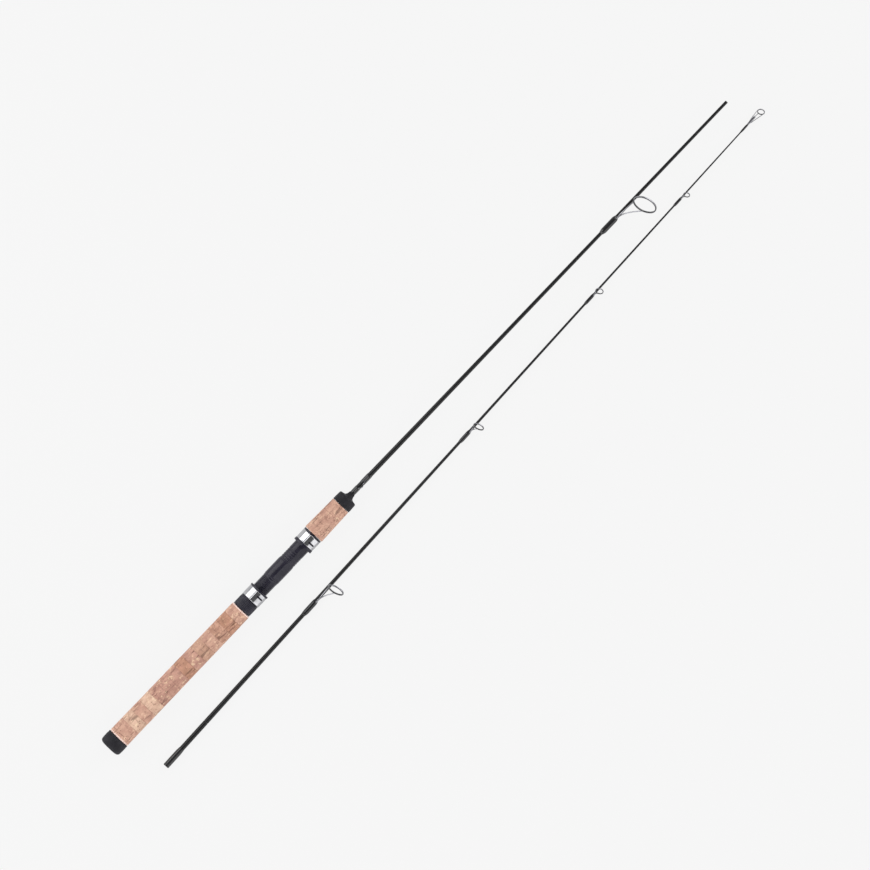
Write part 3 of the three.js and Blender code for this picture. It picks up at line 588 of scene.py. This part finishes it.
def winding_check():
    """The black check in front of the fore grip: a short drum that falls away to a slim flare."""
    start, end = span("winding_check")
    drum = start + 10.9
    rear, front = 11.15 * FACET, 10.75 * FACET
    outer = [(start, rear - 0.4), (start + 0.3, rear - 0.05), (start + 1.2, rear),
             (start + 1.45, rear - 0.25), (start + 1.8, rear - 0.25), (start + 2.05, rear - 0.03),
             (drum - 1.2, front), (drum - 0.1, front - 0.8), (drum + 0.5, 6.6), (drum + 1.0, 5.2),
             (drum + 1.8, 4.45), (drum + 3.0, 3.9), (drum + 4.6, 3.5), (end, 3.3)]
    profile = rounded(outer, [0, 0.2, 0.3, 0.1, 0.1, 0.2, 1.0, 0.9, 0.6, 0.5, 0.6, 1.0, 1.2, 0], 6)
    bore = [(start, 3.2), (end, 3.06)]
    shells = [turned_tube(profile, bore, 128)]
    piece("winding_check_drum", shells, BUTT, "butt_section", "winding_check", RUBBER)


# ---------------------------------------------------------------- reel seat

THREAD_LEAD = 3.0
THREAD_STARTS = 2
THREAD_CREST = 9.0
THREAD_ROOT = 8.55
THREAD_END = 243.0
SEAT_FLAT = (246.0, 288.0, 8.6)  # from, to, and height over the axis, of the bed for the reel foot
SEAT_BORE = 6.6
SEAT_SIDES = 144
KEYWAY_HALF_WIDTH = 1.2
KEYWAY_FLOOR = 8.25
KEYWAY_END = 262.0
KEY_GAP = 0.3


def thread_radius(x, angles, root, crest):
    """A right-hand thread with rounded crests."""
    turn = (x / THREAD_LEAD - (angles + math.pi / 2) / (2 * math.pi)) * THREAD_STARTS
    wave = 0.5 - 0.5 * np.cos(2 * math.pi * turn)
    return root + (crest - root) * smoothstep(wave * 1.25 - 0.1)


def seat_radius(x, angles):
    """The seat tube's outside: thread, pad and ribs, the flat bed for the reel foot, and the keyway below."""
    crest = THREAD_CREST * FACET
    start = span("reel_seat_tube")[0]
    threaded = thread_radius(x, angles, THREAD_ROOT * FACET, crest)
    fade = smoothstep((x - THREAD_END + 1.5) / 1.5)
    r = threaded * (1 - fade) + crest * fade
    if x < start + 0.6:
        r = np.minimum(r, crest - 0.35 + (x - start) * 0.5)
    pad = smoothstep((x - 244.2) / 0.9) * smoothstep((267.2 - x) / 0.9)
    r = r + pad * 0.28
    if 267.5 <= x <= 281.5:
        rib = 0.5 - 0.5 * math.cos(2 * math.pi * (x - 267.5) / 2.8)
        r = r - 0.26 * smoothstep(rib * 1.3 - 0.15)
    if SEAT_FLAT[0] <= x <= SEAT_FLAT[1]:
        facing = np.cos(angles)
        flat = np.where(facing > 0.3, SEAT_FLAT[2] / np.maximum(facing, 0.3), 99)
        r = np.minimum(r, flat)
    if x < KEYWAY_END:
        down = -np.cos(angles)
        in_keyway = (down > 0.5) & (np.abs(THREAD_CREST * np.sin(angles)) < KEYWAY_HALF_WIDTH)
        r = np.where(in_keyway, np.minimum(r, KEYWAY_FLOOR / np.maximum(down, 0.5)), r)
    return r


def key_shell(start, end, outer):
    """The key inside the movable hood's liner, which slides in the seat tube's keyway."""
    half, inner = KEYWAY_HALF_WIDTH - KEY_GAP, KEYWAY_FLOOR + KEY_GAP
    corners = ((-half, -outer), (half, -outer), (half, -inner), (-half, -inner))
    rows = [[(x, y, z) for y, z in corners] for x in (start, end)]
    return skin(rows, closed=False)


def reel_seat():
    start, end = span("reel_seat_tube")
    stations = np.concatenate([np.arange(start, THREAD_END + 3, 0.2), np.arange(THREAD_END + 3, 267, 0.8),
                               np.arange(267.0, 282.2, 0.22), np.arange(282.5, end - 0.5, 1.5), [end]])
    bore = lambda x, angles: np.full(len(angles), SEAT_BORE)
    shells = [field_tube(list(stations), seat_radius, bore, SEAT_SIDES)]
    piece("seat_tube_moulding", shells, BUTT, "butt_section", "reel_seat_tube", SEAT, sharp=35)

    start, end = span("seat_trim_ring")
    r = 11.3 * FACET
    profile = rounded([(start, r - 0.3), (start, r), (end, r), (end, r - 0.3)], 0.25, 4)
    shells = [turned_tube(profile, [(start, 9.12), (end, 9.12)], 128)]
    piece("seat_trim_ring_turned", shells, BUTT, "butt_section", "seat_trim_ring", SEAT)


def lock_nut():
    """The knurled collar that pushes the movable hood, with a thread inside that fits the seat's."""
    start, end = span("lock_nut")
    nose = end - 1.8
    r = 11.0 * FACET
    flutes = 40

    def outside(x, angles):
        if x > nose:
            return np.full(len(angles), 10.2 * FACET - 0.2 * smoothstep((x - end + 0.5) / 0.5))
        near = min(x - start, nose - x)
        ease = 0.45 * max(0.0, 1 - near / 0.7) ** 2
        grip = smoothstep((x - start - 1.6) / 0.5) * smoothstep((nose - 2.1 - x) / 0.5)
        flute = 0.32 * grip * (0.5 + 0.5 * np.cos(angles * flutes)) ** 1.5
        groove = smoothstep(1 - abs(x - start - 1.25) / 0.3) + smoothstep(1 - abs(x - nose + 1.5) / 0.3)
        return r - ease - flute - 0.22 * groove

    def bore(x, angles):
        return thread_radius(x, angles, THREAD_ROOT + 0.22, THREAD_CREST + 0.22)

    stations = np.concatenate([np.arange(start, nose - 0.05, 0.25), [nose - 0.02, nose + 0.02],
                               np.arange(nose + 0.2, end, 0.3), [end]])
    shells = [field_tube(list(stations), outside, bore, 240)]
    piece("lock_nut_knurled", shells, BUTT, "lock_nut", "lock_nut", SEAT, sharp=50)


BULGE_HALF = math.radians(35)
SHOULDER = math.radians(9)
HOOD_SIDES = 180
HOOD_EASE = 0.994  # a hood's radii over those of its faceted CAD pieces
HOOD_WALL = 0.6
POCKET_ROOF = 12.05
POCKET_NARROWER = math.radians(6)


def hood_row(x, radius, bulge, narrower=0.0):
    """One ring of points of a hood: a circle with a wider arc over the reel foot, and soft shoulders."""
    angles = np.linspace(0, 2 * math.pi, HOOD_SIDES, endpoint=False)
    offset = np.abs(np.angle(np.exp(1j * angles)))
    share = smoothstep((BULGE_HALF - narrower + SHOULDER / 2 - offset) / SHOULDER)
    return circle_row(x, radius + (bulge - radius) * share, HOOD_SIDES)


def cutter(middle, half_sizes, radius):
    """A box with rounded ends, for cutting the hoods' slots, in mm in the butt's frame."""
    hx, hy, hz = half_sizes
    outline = []
    for cx, cy, turn in ((1, 1, 0), (-1, 1, 1), (-1, -1, 2), (1, -1, 3)):
        for i in range(7):
            a = math.pi / 2 * (turn + i / 6)
            x, y = cx * (hx - radius), cy * (hy - radius)
            outline.append((x + radius * math.cos(a), y + radius * math.sin(a)))
    rows = [[(middle[0] + x, middle[1] + y, middle[2] + z) for x, y in outline] for z in (-hz, hz)]
    return skin(rows, closed=False)


def apply_cut(obj, shell):
    """Cuts a closed shell of points out of a piece."""
    points, faces = shell
    mesh = bpy.data.meshes.new("cut")
    mesh.from_pydata(rolled(points).tolist(), [], facing_out(points, faces))
    tool = bpy.data.objects.new("cut", mesh)
    bpy.context.scene.collection.objects.link(tool)
    tool.matrix_world = obj.matrix_world.copy()
    modifier = obj.modifiers.new("slot", "BOOLEAN")
    modifier.object = tool
    modifier.operation = "DIFFERENCE"
    modifier.solver = "EXACT"
    bpy.context.view_layer.update()
    result = bpy.data.meshes.new_from_object(obj.evaluated_get(bpy.context.evaluated_depsgraph_get()))
    obj.modifiers.remove(modifier)
    old = obj.data
    obj.data = result
    result.name = old.name
    bpy.data.meshes.remove(old)
    bpy.data.objects.remove(tool)
    bpy.data.meshes.remove(mesh)
    result.polygons.foreach_set("use_smooth", [True] * len(result.polygons))
    result.set_sharp_from_angle(angle=math.radians(35))


def hood_shell(prefix, body, mouth_side):
    """The bright shell, with rolled edges, a groove round its rear, and a narrow slot over the reel foot."""
    start, end = span(f"{prefix}_shell")
    outer, bulge = 11.3 * HOOD_EASE, 13.5 * HOOD_EASE
    edges = [(start, 0.28), (start + 0.1, 0.12), (start + 0.3, 0.02), (start + 0.6, 0), (start + 1.1, 0.12),
             (start + 1.5, 0.12), (start + 2.0, 0), (end - 0.8, 0), (end - 0.3, 0.02), (end - 0.1, 0.12),
             (end, 0.28), (end, HOOD_WALL), (start, HOOD_WALL)]
    shells = [skin([hood_row(x, outer - drop, bulge - drop) for x, drop in edges], closed=True)]
    shell = piece(f"{prefix}_shell_plated", shells, BUTT, body, f"{prefix}_shell", HOOD_METAL, sharp=35)
    slot_middle = end - 4.4 if mouth_side > 0 else start + 4.4
    apply_cut(shell, cutter((slot_middle, 0, 13.2), (0.95, 3.8, 1.6), 0.93))


def hood_liner(prefix, body, mouth_side):
    """The black liner, with a rim at its mouth, a pocket for the reel foot, and on the movable one a key."""
    start, end = span(f"{prefix}_shell")
    low, high = span(f"{prefix}_liner")
    movable = mouth_side > 0
    rim_from, rim_to = (end + 0.2, high) if movable else (low, start - 0.2)
    rim = [(x, 11.55 * HOOD_EASE - drop, 13.75 * HOOD_EASE - drop) for x, drop in
           ((rim_from, 0.2), (rim_from + 0.12, 0.04), (rim_from + 0.4, 0), (rim_to - 0.4, 0),
            (rim_to - 0.12, 0.04), (rim_to, 0.2))]
    ends = ((low, 0.2), (low + 0.3, 0), (rim_from - 0.01, 0)) if movable else \
        ((rim_to + 0.01, 0), (high - 0.3, 0), (high, 0.2))
    inside = [(x, 10.4 * HOOD_EASE - drop, 12.6 * HOOD_EASE - drop) for x, drop in ends]
    rows = [hood_row(*place) for place in (inside + rim if movable else rim + inside)]
    if movable:
        bore = 9.65
        rows += [hood_row(high, bore, POCKET_ROOF, POCKET_NARROWER),
                 hood_row(low + 2.0, bore, POCKET_ROOF, POCKET_NARROWER),
                 hood_row(low + 1.9, bore, bore), hood_row(low, bore, bore)]
        shells = [skin(rows, closed=True), key_shell(low + 0.3, end, bore + 0.4)]
    else:
        bore = 9.3
        rows += [hood_row(high, bore, bore), hood_row(high - 2.1, bore, bore),
                 hood_row(high - 2.2, bore, POCKET_ROOF, POCKET_NARROWER),
                 hood_row(low, bore, POCKET_ROOF, POCKET_NARROWER)]
        shells = [skin(rows, closed=True)]
    piece(f"{prefix}_liner_moulding", shells, BUTT, body, f"{prefix}_liner", SEAT, sharp=35)


def hood(prefix, body, mouth_side):
    """A hood, with its mouth towards the front where mouth_side is 1 and towards the rear where it is -1."""
    hood_shell(prefix, body, mouth_side)
    hood_liner(prefix, body, mouth_side)


# ---------------------------------------------------------------- blanks

# (distance along the section, radius)
BUTT_PROFILE = [(6, 3.7), (200, 3.35), (349, 2.95), (394, 2.75), (468, 2.5), (572, 2.15), (676, 1.98),
                (811, 1.8), (894, 1.66), (930, 1.66)]
TIP_PROFILE = [(0, 2.85), (62, 2.75), (105, 2.55), (157, 2.38), (210, 2.2), (315, 1.92), (420, 1.6),
               (523, 1.38), (628, 1.2), (732, 1.02), (840, 0.82), (911.5, 0.65)]
BLANK_FACET = math.cos(math.pi / 16) * 0.5 + 0.5
BLANK_WALL = 0.8
SOCKET_LENGTH = 62.0
SOCKET_BORE = [(0, 2.3), (0.5, 2.02), (60, 1.84), (SOCKET_LENGTH, 1.84)]


def radius_at(profile, x):
    return float(np.interp(x, [p[0] for p in profile], [p[1] for p in profile]))


def blank(name, node, section, body, profile, start, end, bore=None):
    """A hollow tapering blank, with its end edges broken."""
    middle = np.arange(start + 4, end - 2, 4.0)
    stations = [start, start + 0.25, start + 0.6, *middle, end - 0.6, end - 0.25, end]
    broken = [0.2, 0.05] + [0.0] * (len(stations) - 4) + [0.05, 0.2]
    outer = [(x, radius_at(profile, x) * BLANK_FACET - drop) for x, drop in zip(stations, broken)]
    if bore is None:
        radii = [radius_at(profile, x) for x in stations]
        bore = [(x, min(max(r - BLANK_WALL, r * 0.35), out - 0.15)) for (x, out), r in zip(outer, radii)]
    piece(name, [turned_tube(outer, bore, 32)], section, body, node, BLANK)


def blanks():
    blank("butt_blank_tube", "butt_blank", BUTT, "butt_section", BUTT_PROFILE, *span("butt_blank"))
    blank("tip_blank_socket_tube", "tip_blank_socket", TIP, "tip_section", TIP_PROFILE, 0.0, SOCKET_LENGTH,
          bore=SOCKET_BORE)
    blank("tip_blank_tube", "tip_blank", TIP, "tip_section", TIP_PROFILE, SOCKET_LENGTH + 0.12,
          TIP_PROFILE[-1][0])


def ferrule_sleeve():
    """The glossy wrap that strengthens the socket's mouth."""
    r = 3.45 * FACET
    end = SLEEVE_LENGTH
    outer = [(0.02, 2.99), (0.05, r - 0.45), (0.35, r - 0.12), (0.9, r), (2.2, r), (2.5, r - 0.1),
             (2.9, r - 0.1), (3.2, r), (12, r), (end - 5, r - 0.02), (end - 2.5, r - 0.25), (end, 3.0)]
    profile = rounded(outer, [0, 0.2, 0.3, 0.4, 0.2, 0.1, 0.1, 0.2, 3, 2, 1.2, 0], 5)
    shells = [turned_tube(profile, [(0.02, 2.97), (end, 2.97)], 64)]
    piece("ferrule_sleeve_wrap", shells, TIP, "tip_section", "ferrule_sleeve", SLEEVE)


# ---------------------------------------------------------------- guides

# foot and wrap are stretches of the blank; lean is in degrees; the rest are radii and thicknesses in mm
STRIPPER = dict(ring=13.3, lean=35, foot=(741.5, 767.5), wrap=(740.5, 764.4), wrap_radius=3.3, thickness=0.95,
                wire=0.62, band=2.0, insert=0.95)
RUNNING = [
    dict(ring=9.35, lean=26, foot=(214, 238), wrap=(213, 233.4), wrap_radius=3.1, thickness=0.85, wire=0.55,
         band=1.8, insert=0.85),
    dict(ring=6.1, lean=31, foot=(456, 474.6), wrap=(455, 471.5), wrap_radius=2.35, thickness=0.6, wire=0.42,
         band=1.4, insert=0.7),
    dict(ring=4.5, lean=48, foot=(650, 665.4), wrap=(649, 663.4), wrap_radius=1.85, thickness=0.42, wire=0.34,
         band=1.2, insert=0.6),
    dict(ring=3.7, lean=48, foot=(788, 801), wrap=(787, 799.2), wrap_radius=1.6, thickness=0.38, wire=0.32,
         band=1.1, insert=0.55),
]
TIP_TOP = dict(ring=4.15, lean=50, wire=0.36, band=1.1, insert=0.55, tube=(902, 914), tube_radius=1.2,
               wrap=(891, 901.8), wrap_radius=1.2)
LEG_ANGLE = math.radians(34)
SNUG = 0.12  # how far a guide stands off the blank, and a ceramic ring off its band


def ring_wall(guide):
    return min(0.55, guide["insert"] * 0.6)


def ring_point(centre, guide, radius, angle, along=0.0):
    """A point of a guide's ring, at an angle from its lowest point and a distance along the ring's axis."""
    lean = math.radians(guide["lean"])
    up = -radius * math.cos(angle)
    return (centre.x + up * math.sin(lean) + along * math.cos(lean), centre.y + radius * math.sin(angle),
            centre.z + up * math.cos(lean) - along * math.sin(lean))


def ring_shell(centre, guide, section_profile, sides=96):
    """A ring with a section given as (along, radius) points."""
    rows = [[ring_point(centre, guide, r, 2 * math.pi * i / sides, a) for a, r in section_profile]
            for i in range(sides)]
    return skin(rows, closed=True)


def oval(middle_radius, half_width, half_height, power=2.5, count=20):
    """A rounded-rectangle section of a ring."""
    out = []
    for i in range(count):
        t = 2 * math.pi * i / count
        c, s = math.cos(t), math.sin(t)
        out.append((half_width * math.copysign(abs(c) ** (2 / power), c),
                    middle_radius + half_height * math.copysign(abs(s) ** (2 / power), s)))
    return out


def frame_band(centre, guide):
    """The metal band round a guide's ceramic ring, a little inside the CAD's faceted one."""
    wall = ring_wall(guide)
    profile = oval((guide["ring"] - wall / 2) * 0.99, guide["band"] * 0.36, wall / 2 - 0.01, 3)
    return ring_shell(centre, guide, profile)


def insert_ring(name, node, centre, guide, section, body):
    """The ceramic ring that the line runs through."""
    outer = guide["ring"] - ring_wall(guide) - SNUG
    half = guide["insert"] / 2
    profile = oval(outer - half, guide["band"] / 2 * 0.98, half * 0.98, 2.6, 24)
    piece(name, [ring_shell(centre, guide, profile)], section, body, node, CERAMIC, square=True)


def guide_frame(centre, guide, profile):
    """A one-foot frame of wire: two legs run together along the blank, part and rise to the ring."""
    foot_start, foot_end = guide["foot"]
    thick, wire = guide["thickness"], guide["wire"]
    under = radius_at(profile, foot_start) + SNUG + 0.05
    middle = under + thick / 2
    shells = [frame_band(centre, guide)]
    for side in (-1, 1):
        target = Vector(ring_point(centre, guide, guide["ring"] - ring_wall(guide) / 2, side * LEG_ANGLE))
        start = Vector((foot_end - 3.2, side * wire * 0.62, middle))
        rise = Vector((foot_end - 0.6, side * wire * 0.7, middle - 0.02))
        bend = Vector((foot_end + (target.x - foot_end) * 0.28, side * wire * 1.1, middle + 0.1))
        path = bezier([start, rise, bend, target], 28)
        shells.append(swept(path, wire * 0.97, sides=14))
    foot, sizes, flats = [], [], []
    for t in np.linspace(0, 1, 12):
        height = thick * (0.28 + 0.72 * min(1.0, t * 1.7))
        width = wire * (0.75 + 0.85 * smoothstep(t * 1.4))
        foot.append((foot_start + 0.4 + (foot_end - foot_start - 0.8) * t, 0, under + height / 2))
        sizes.append(float(width))
        flats.append(float(height / 2 / width))
    shells.append(swept(foot, sizes, sides=20, flatten=flats))
    return shells


def wrap_shell(profile, start, end, radius, lift=0.0, ridge=None):
    """A thread wrap under clear coat. It swells over the blank, and lift raises it over a guide's foot. ridge
    is (height, half width) of the tent that it makes over a thin wire."""
    rows, sides = [], 72
    angles = np.arange(sides) * 2 * math.pi / sides
    length = end - start
    rear, front = min(length * 0.3, 5.0), min(length * 0.24, 4.0)
    for t in np.linspace(0, 1, 48):
        x = start + length * t
        rise, fall = min(1.0, (x - start) / rear), min(1.0, (end - x) / front)
        swell = math.sin(math.pi / 2 * rise) * math.sin(math.pi / 2 * fall)
        plain = radius_at(profile, x) * BLANK_FACET + 0.16
        r = np.full(sides, plain + (radius * 0.97 - plain) * swell)
        if ridge:
            height, half_width = ridge
            around = np.abs(np.angle(np.exp(1j * angles))) * r[0]
            r = r + max(0.0, height - r[0]) * swell ** 2 * np.exp(-(around / half_width) ** 2)
        row = circle_row(x, r, sides)
        row[:, 2] += lift * swell
        rows.append(row)
    bore = radius_at(profile, start) * BLANK_FACET + 0.03
    rows += [circle_row(x, bore, sides) for x in (end, start)]
    return skin(rows, closed=True)


def one_guide(name, section, body, profile, guide):
    """A guide's frame, its ceramic ring and its thread wrap."""
    centre = local_centre(f"{name}_ring", section)
    shells = guide_frame(centre, guide, profile)
    piece(f"{name}_wire", shells, section, body, f"{name}_frame", GUIDE_METAL, sharp=60, square=True)
    insert_ring(f"{name}_insert", f"{name}_ring", centre, guide, section, body)
    wrap = wrap_shell(profile, *guide["wrap"], guide["wrap_radius"], lift=guide["thickness"] * 0.45)
    piece(f"{name}_binding", [wrap], section, body, f"{name}_wrap", THREAD, sharp=50, square=True)


def tip_top():
    """The tip-top: a tube over the blank's end, two legs and a brace up to its ring, and a thread wrap."""
    centre = local_centre("tip_top_ring", TIP)
    start, end = TIP_TOP["tube"]
    r = TIP_TOP["tube_radius"] * 0.98
    outer = rounded([(start, 0.95), (start, r), (start + 0.9, r), (start + 1.1, r - 0.07),
                     (start + 1.4, r - 0.07), (start + 1.6, r), (end - 1.6, r), (end - 0.2, r * 0.55),
                     (end, 0.02)], [0, 0.12, 0.1, 0.05, 0.05, 0.1, 0.9, 0.4, 0], 5)
    inner = [(TIP_PROFILE[-1][0] + 0.4, 0.02), (TIP_PROFILE[-1][0] + 0.3, 0.82), (start, 0.82)]
    rows = [circle_row(x, max(radius, 0.02), 40) for x, radius in outer + inner]
    shells = [skin(rows, closed=True), frame_band(centre, TIP_TOP)]
    band_middle = TIP_TOP["ring"] - ring_wall(TIP_TOP) / 2
    for side in (-1, 1):
        target = Vector(ring_point(centre, TIP_TOP, band_middle, side * math.pi * 0.42))
        root = Vector((start + 3, side * (r - 0.02), 0.2))
        bend = Vector(((root.x + target.x) / 2, side * (r + 1.6), 0.9))
        shells.append(swept(bezier([root, bend, target], 20), TIP_TOP["wire"], sides=12))
    low = Vector(ring_point(centre, TIP_TOP, TIP_TOP["ring"] - 0.2, 0))
    shells.append(swept([(end - 1.4, 0, 0.1), tuple(low)], TIP_TOP["wire"], sides=12))
    piece("tip_top_wire", shells, TIP, "tip_section", "tip_top_frame", GUIDE_METAL, sharp=50, square=True)
    insert_ring("tip_top_insert", "tip_top_ring", centre, TIP_TOP, TIP, "tip_section")
    wrap = wrap_shell(TIP_PROFILE, *TIP_TOP["wrap"], TIP_TOP["wrap_radius"])
    piece("tip_top_binding", [wrap], TIP, "tip_section", "tip_top_wrap", THREAD, sharp=50, square=True)


def hook_keeper():
    """The small loop of wire in front of the grip, bound down at both ends."""
    wire = 0.36
    low, high = 376.4, 380.4
    on_blank = radius_at(BUTT_PROFILE, low) + wire + SNUG
    route = [(369.2, 0, on_blank), (low - 1.6, 0, on_blank), (low, 0, on_blank + 0.7), (low + 0.1, 0, 6.0),
             ((low + high) / 2, 0, 7.2), (high - 0.1, 0, 6.0), (high, 0, on_blank + 0.7),
             (high + 1.6, 0, on_blank), (391.4, 0, on_blank)]
    shells = [swept(smooth_path(route, 8), wire, sides=14)]
    piece("hook_keeper_wire", shells, BUTT, "butt_section", "hook_keeper", GUIDE_METAL, sharp=60)
    for side, (start, end) in (("rear", (367.2, 375.6)), ("front", (381.2, 393.4))):
        wrap = wrap_shell(BUTT_PROFILE, start, end, 3.2, ridge=(on_blank + wire + 0.28, 0.95))
        node = f"hook_keeper_{side}_wrap"
        piece(f"hook_keeper_{side}_binding", [wrap], BUTT, "butt_section", node, THREAD, sharp=50)


butt_cap()
grips()
reel_seat()
lock_nut()
hood("movable_hood", "movable_hood", 1)
hood("fixed_hood", "butt_section", -1)
winding_check()
hook_keeper()
blanks()
ferrule_sleeve()
one_guide("stripper_guide", BUTT, "butt_section", BUTT_PROFILE, STRIPPER)
for number, running_guide in enumerate(RUNNING, 1):
    one_guide(f"running_guide_{number}", TIP, "tip_section", TIP_PROFILE, running_guide)
tip_top()
for arbor in ("rear", "middle", "front"):
    materials = frame["nodes"][f"seat_arbor_{arbor}"].data.materials
    materials.clear()
    materials.append(FOAM)

# ---------------------------------------------------------------- surface, light and camera

FLOOR_GLOW = 0.875  # the surface is a light table, so that there is next to no shadow on it


def floor():
    """A plain pale surface, just under the rod."""
    mesh = bpy.data.meshes.new("floor")
    half = 30.0
    corners = [(-half, -half, 0), (half, -half, 0), (half, half, 0), (-half, half, 0)]
    mesh.from_pydata(corners, [], [(0, 1, 2, 3)])
    s = Shader("floor")
    s.set(Base_Color=(0.04, 0.04, 0.04, 1), Roughness=1.0, Specular_IOR_Level=0.0,
          Emission_Color=(1, 1, 1, 1), Emission_Strength=FLOOR_GLOW)
    mesh.materials.append(s.material)
    obj = bpy.data.objects.new("floor", mesh)
    bpy.context.scene.collection.objects.link(obj)
    obj.location.z = -0.0002


def softbox(name, place, size, brightness, facing):
    """An upright panel of light, turned by facing degrees. brightness is how bright the panel looks."""
    light = bpy.data.lights.new(name, "AREA")
    light.shape = "RECTANGLE"
    light.size, light.size_y = size
    light.energy = brightness * math.pi * size[0] * size[1]
    obj = bpy.data.objects.new(name, light)
    bpy.context.scene.collection.objects.link(obj)
    obj.location = place
    obj.rotation_euler = (math.pi / 2, 0, math.radians(facing))


def sky(zenith, horizon):
    """A plain studio, dimmer straight above, so that glossy surfaces have something dark to show."""
    world = bpy.data.worlds.new("studio")
    bpy.context.scene.world = world
    world.use_nodes = True
    tree = world.node_tree
    source = tree.nodes.new("ShaderNodeTexCoord")
    split = tree.nodes.new("ShaderNodeSeparateXYZ")
    ramp = tree.nodes.new("ShaderNodeValToRGB")
    tree.links.new(source.outputs["Generated"], split.inputs[0])
    tree.links.new(split.outputs["Z"], ramp.inputs["Fac"])
    tree.links.new(ramp.outputs["Color"], tree.nodes["Background"].inputs["Color"])
    for element, position, grey in zip(ramp.color_ramp.elements, (0.55, 0.85), (horizon, zenith)):
        element.position, element.color = position, (grey, grey, grey, 1)


def camera():
    """Straight above, turned so that the rod runs up to the right."""
    lens, width, turn = 400.0, 904.8, math.radians(46.3)
    data = bpy.data.cameras.new("camera")
    data.lens = lens
    data.sensor_width = 36.0
    data.clip_end = 50.0
    obj = bpy.data.objects.new("camera", data)
    bpy.context.scene.collection.objects.link(obj)
    target = BUTT.translation + Vector((469.7, -20.2, 0)) * MM
    obj.location = target + Vector((0, 0, width * MM * lens / data.sensor_width))
    obj.rotation_euler = (0, 0, -turn)
    bpy.context.scene.camera = obj


floor()
softbox("left_panel", (-0.45, 1.1, 1.0), (1.0, 1.7), 2.35, 180)
softbox("right_near_panel", (-0.6, -1.3, 1.0), (0.8, 1.8), 1.05, 0)
softbox("right_far_panel", (0.55, -1.3, 1.0), (1.5, 1.8), 1.4, 0)
softbox("butt_end_panel", (-1.7, 0, 1.1), (2.4, 1.8), 2.4, -90)
softbox("tip_end_panel", (1.7, 0, 1.1), (2.4, 1.8), 2.4, 90)
sky(0.16, 0.45)
camera()
bpy.context.scene.view_settings.view_transform = "Standard"
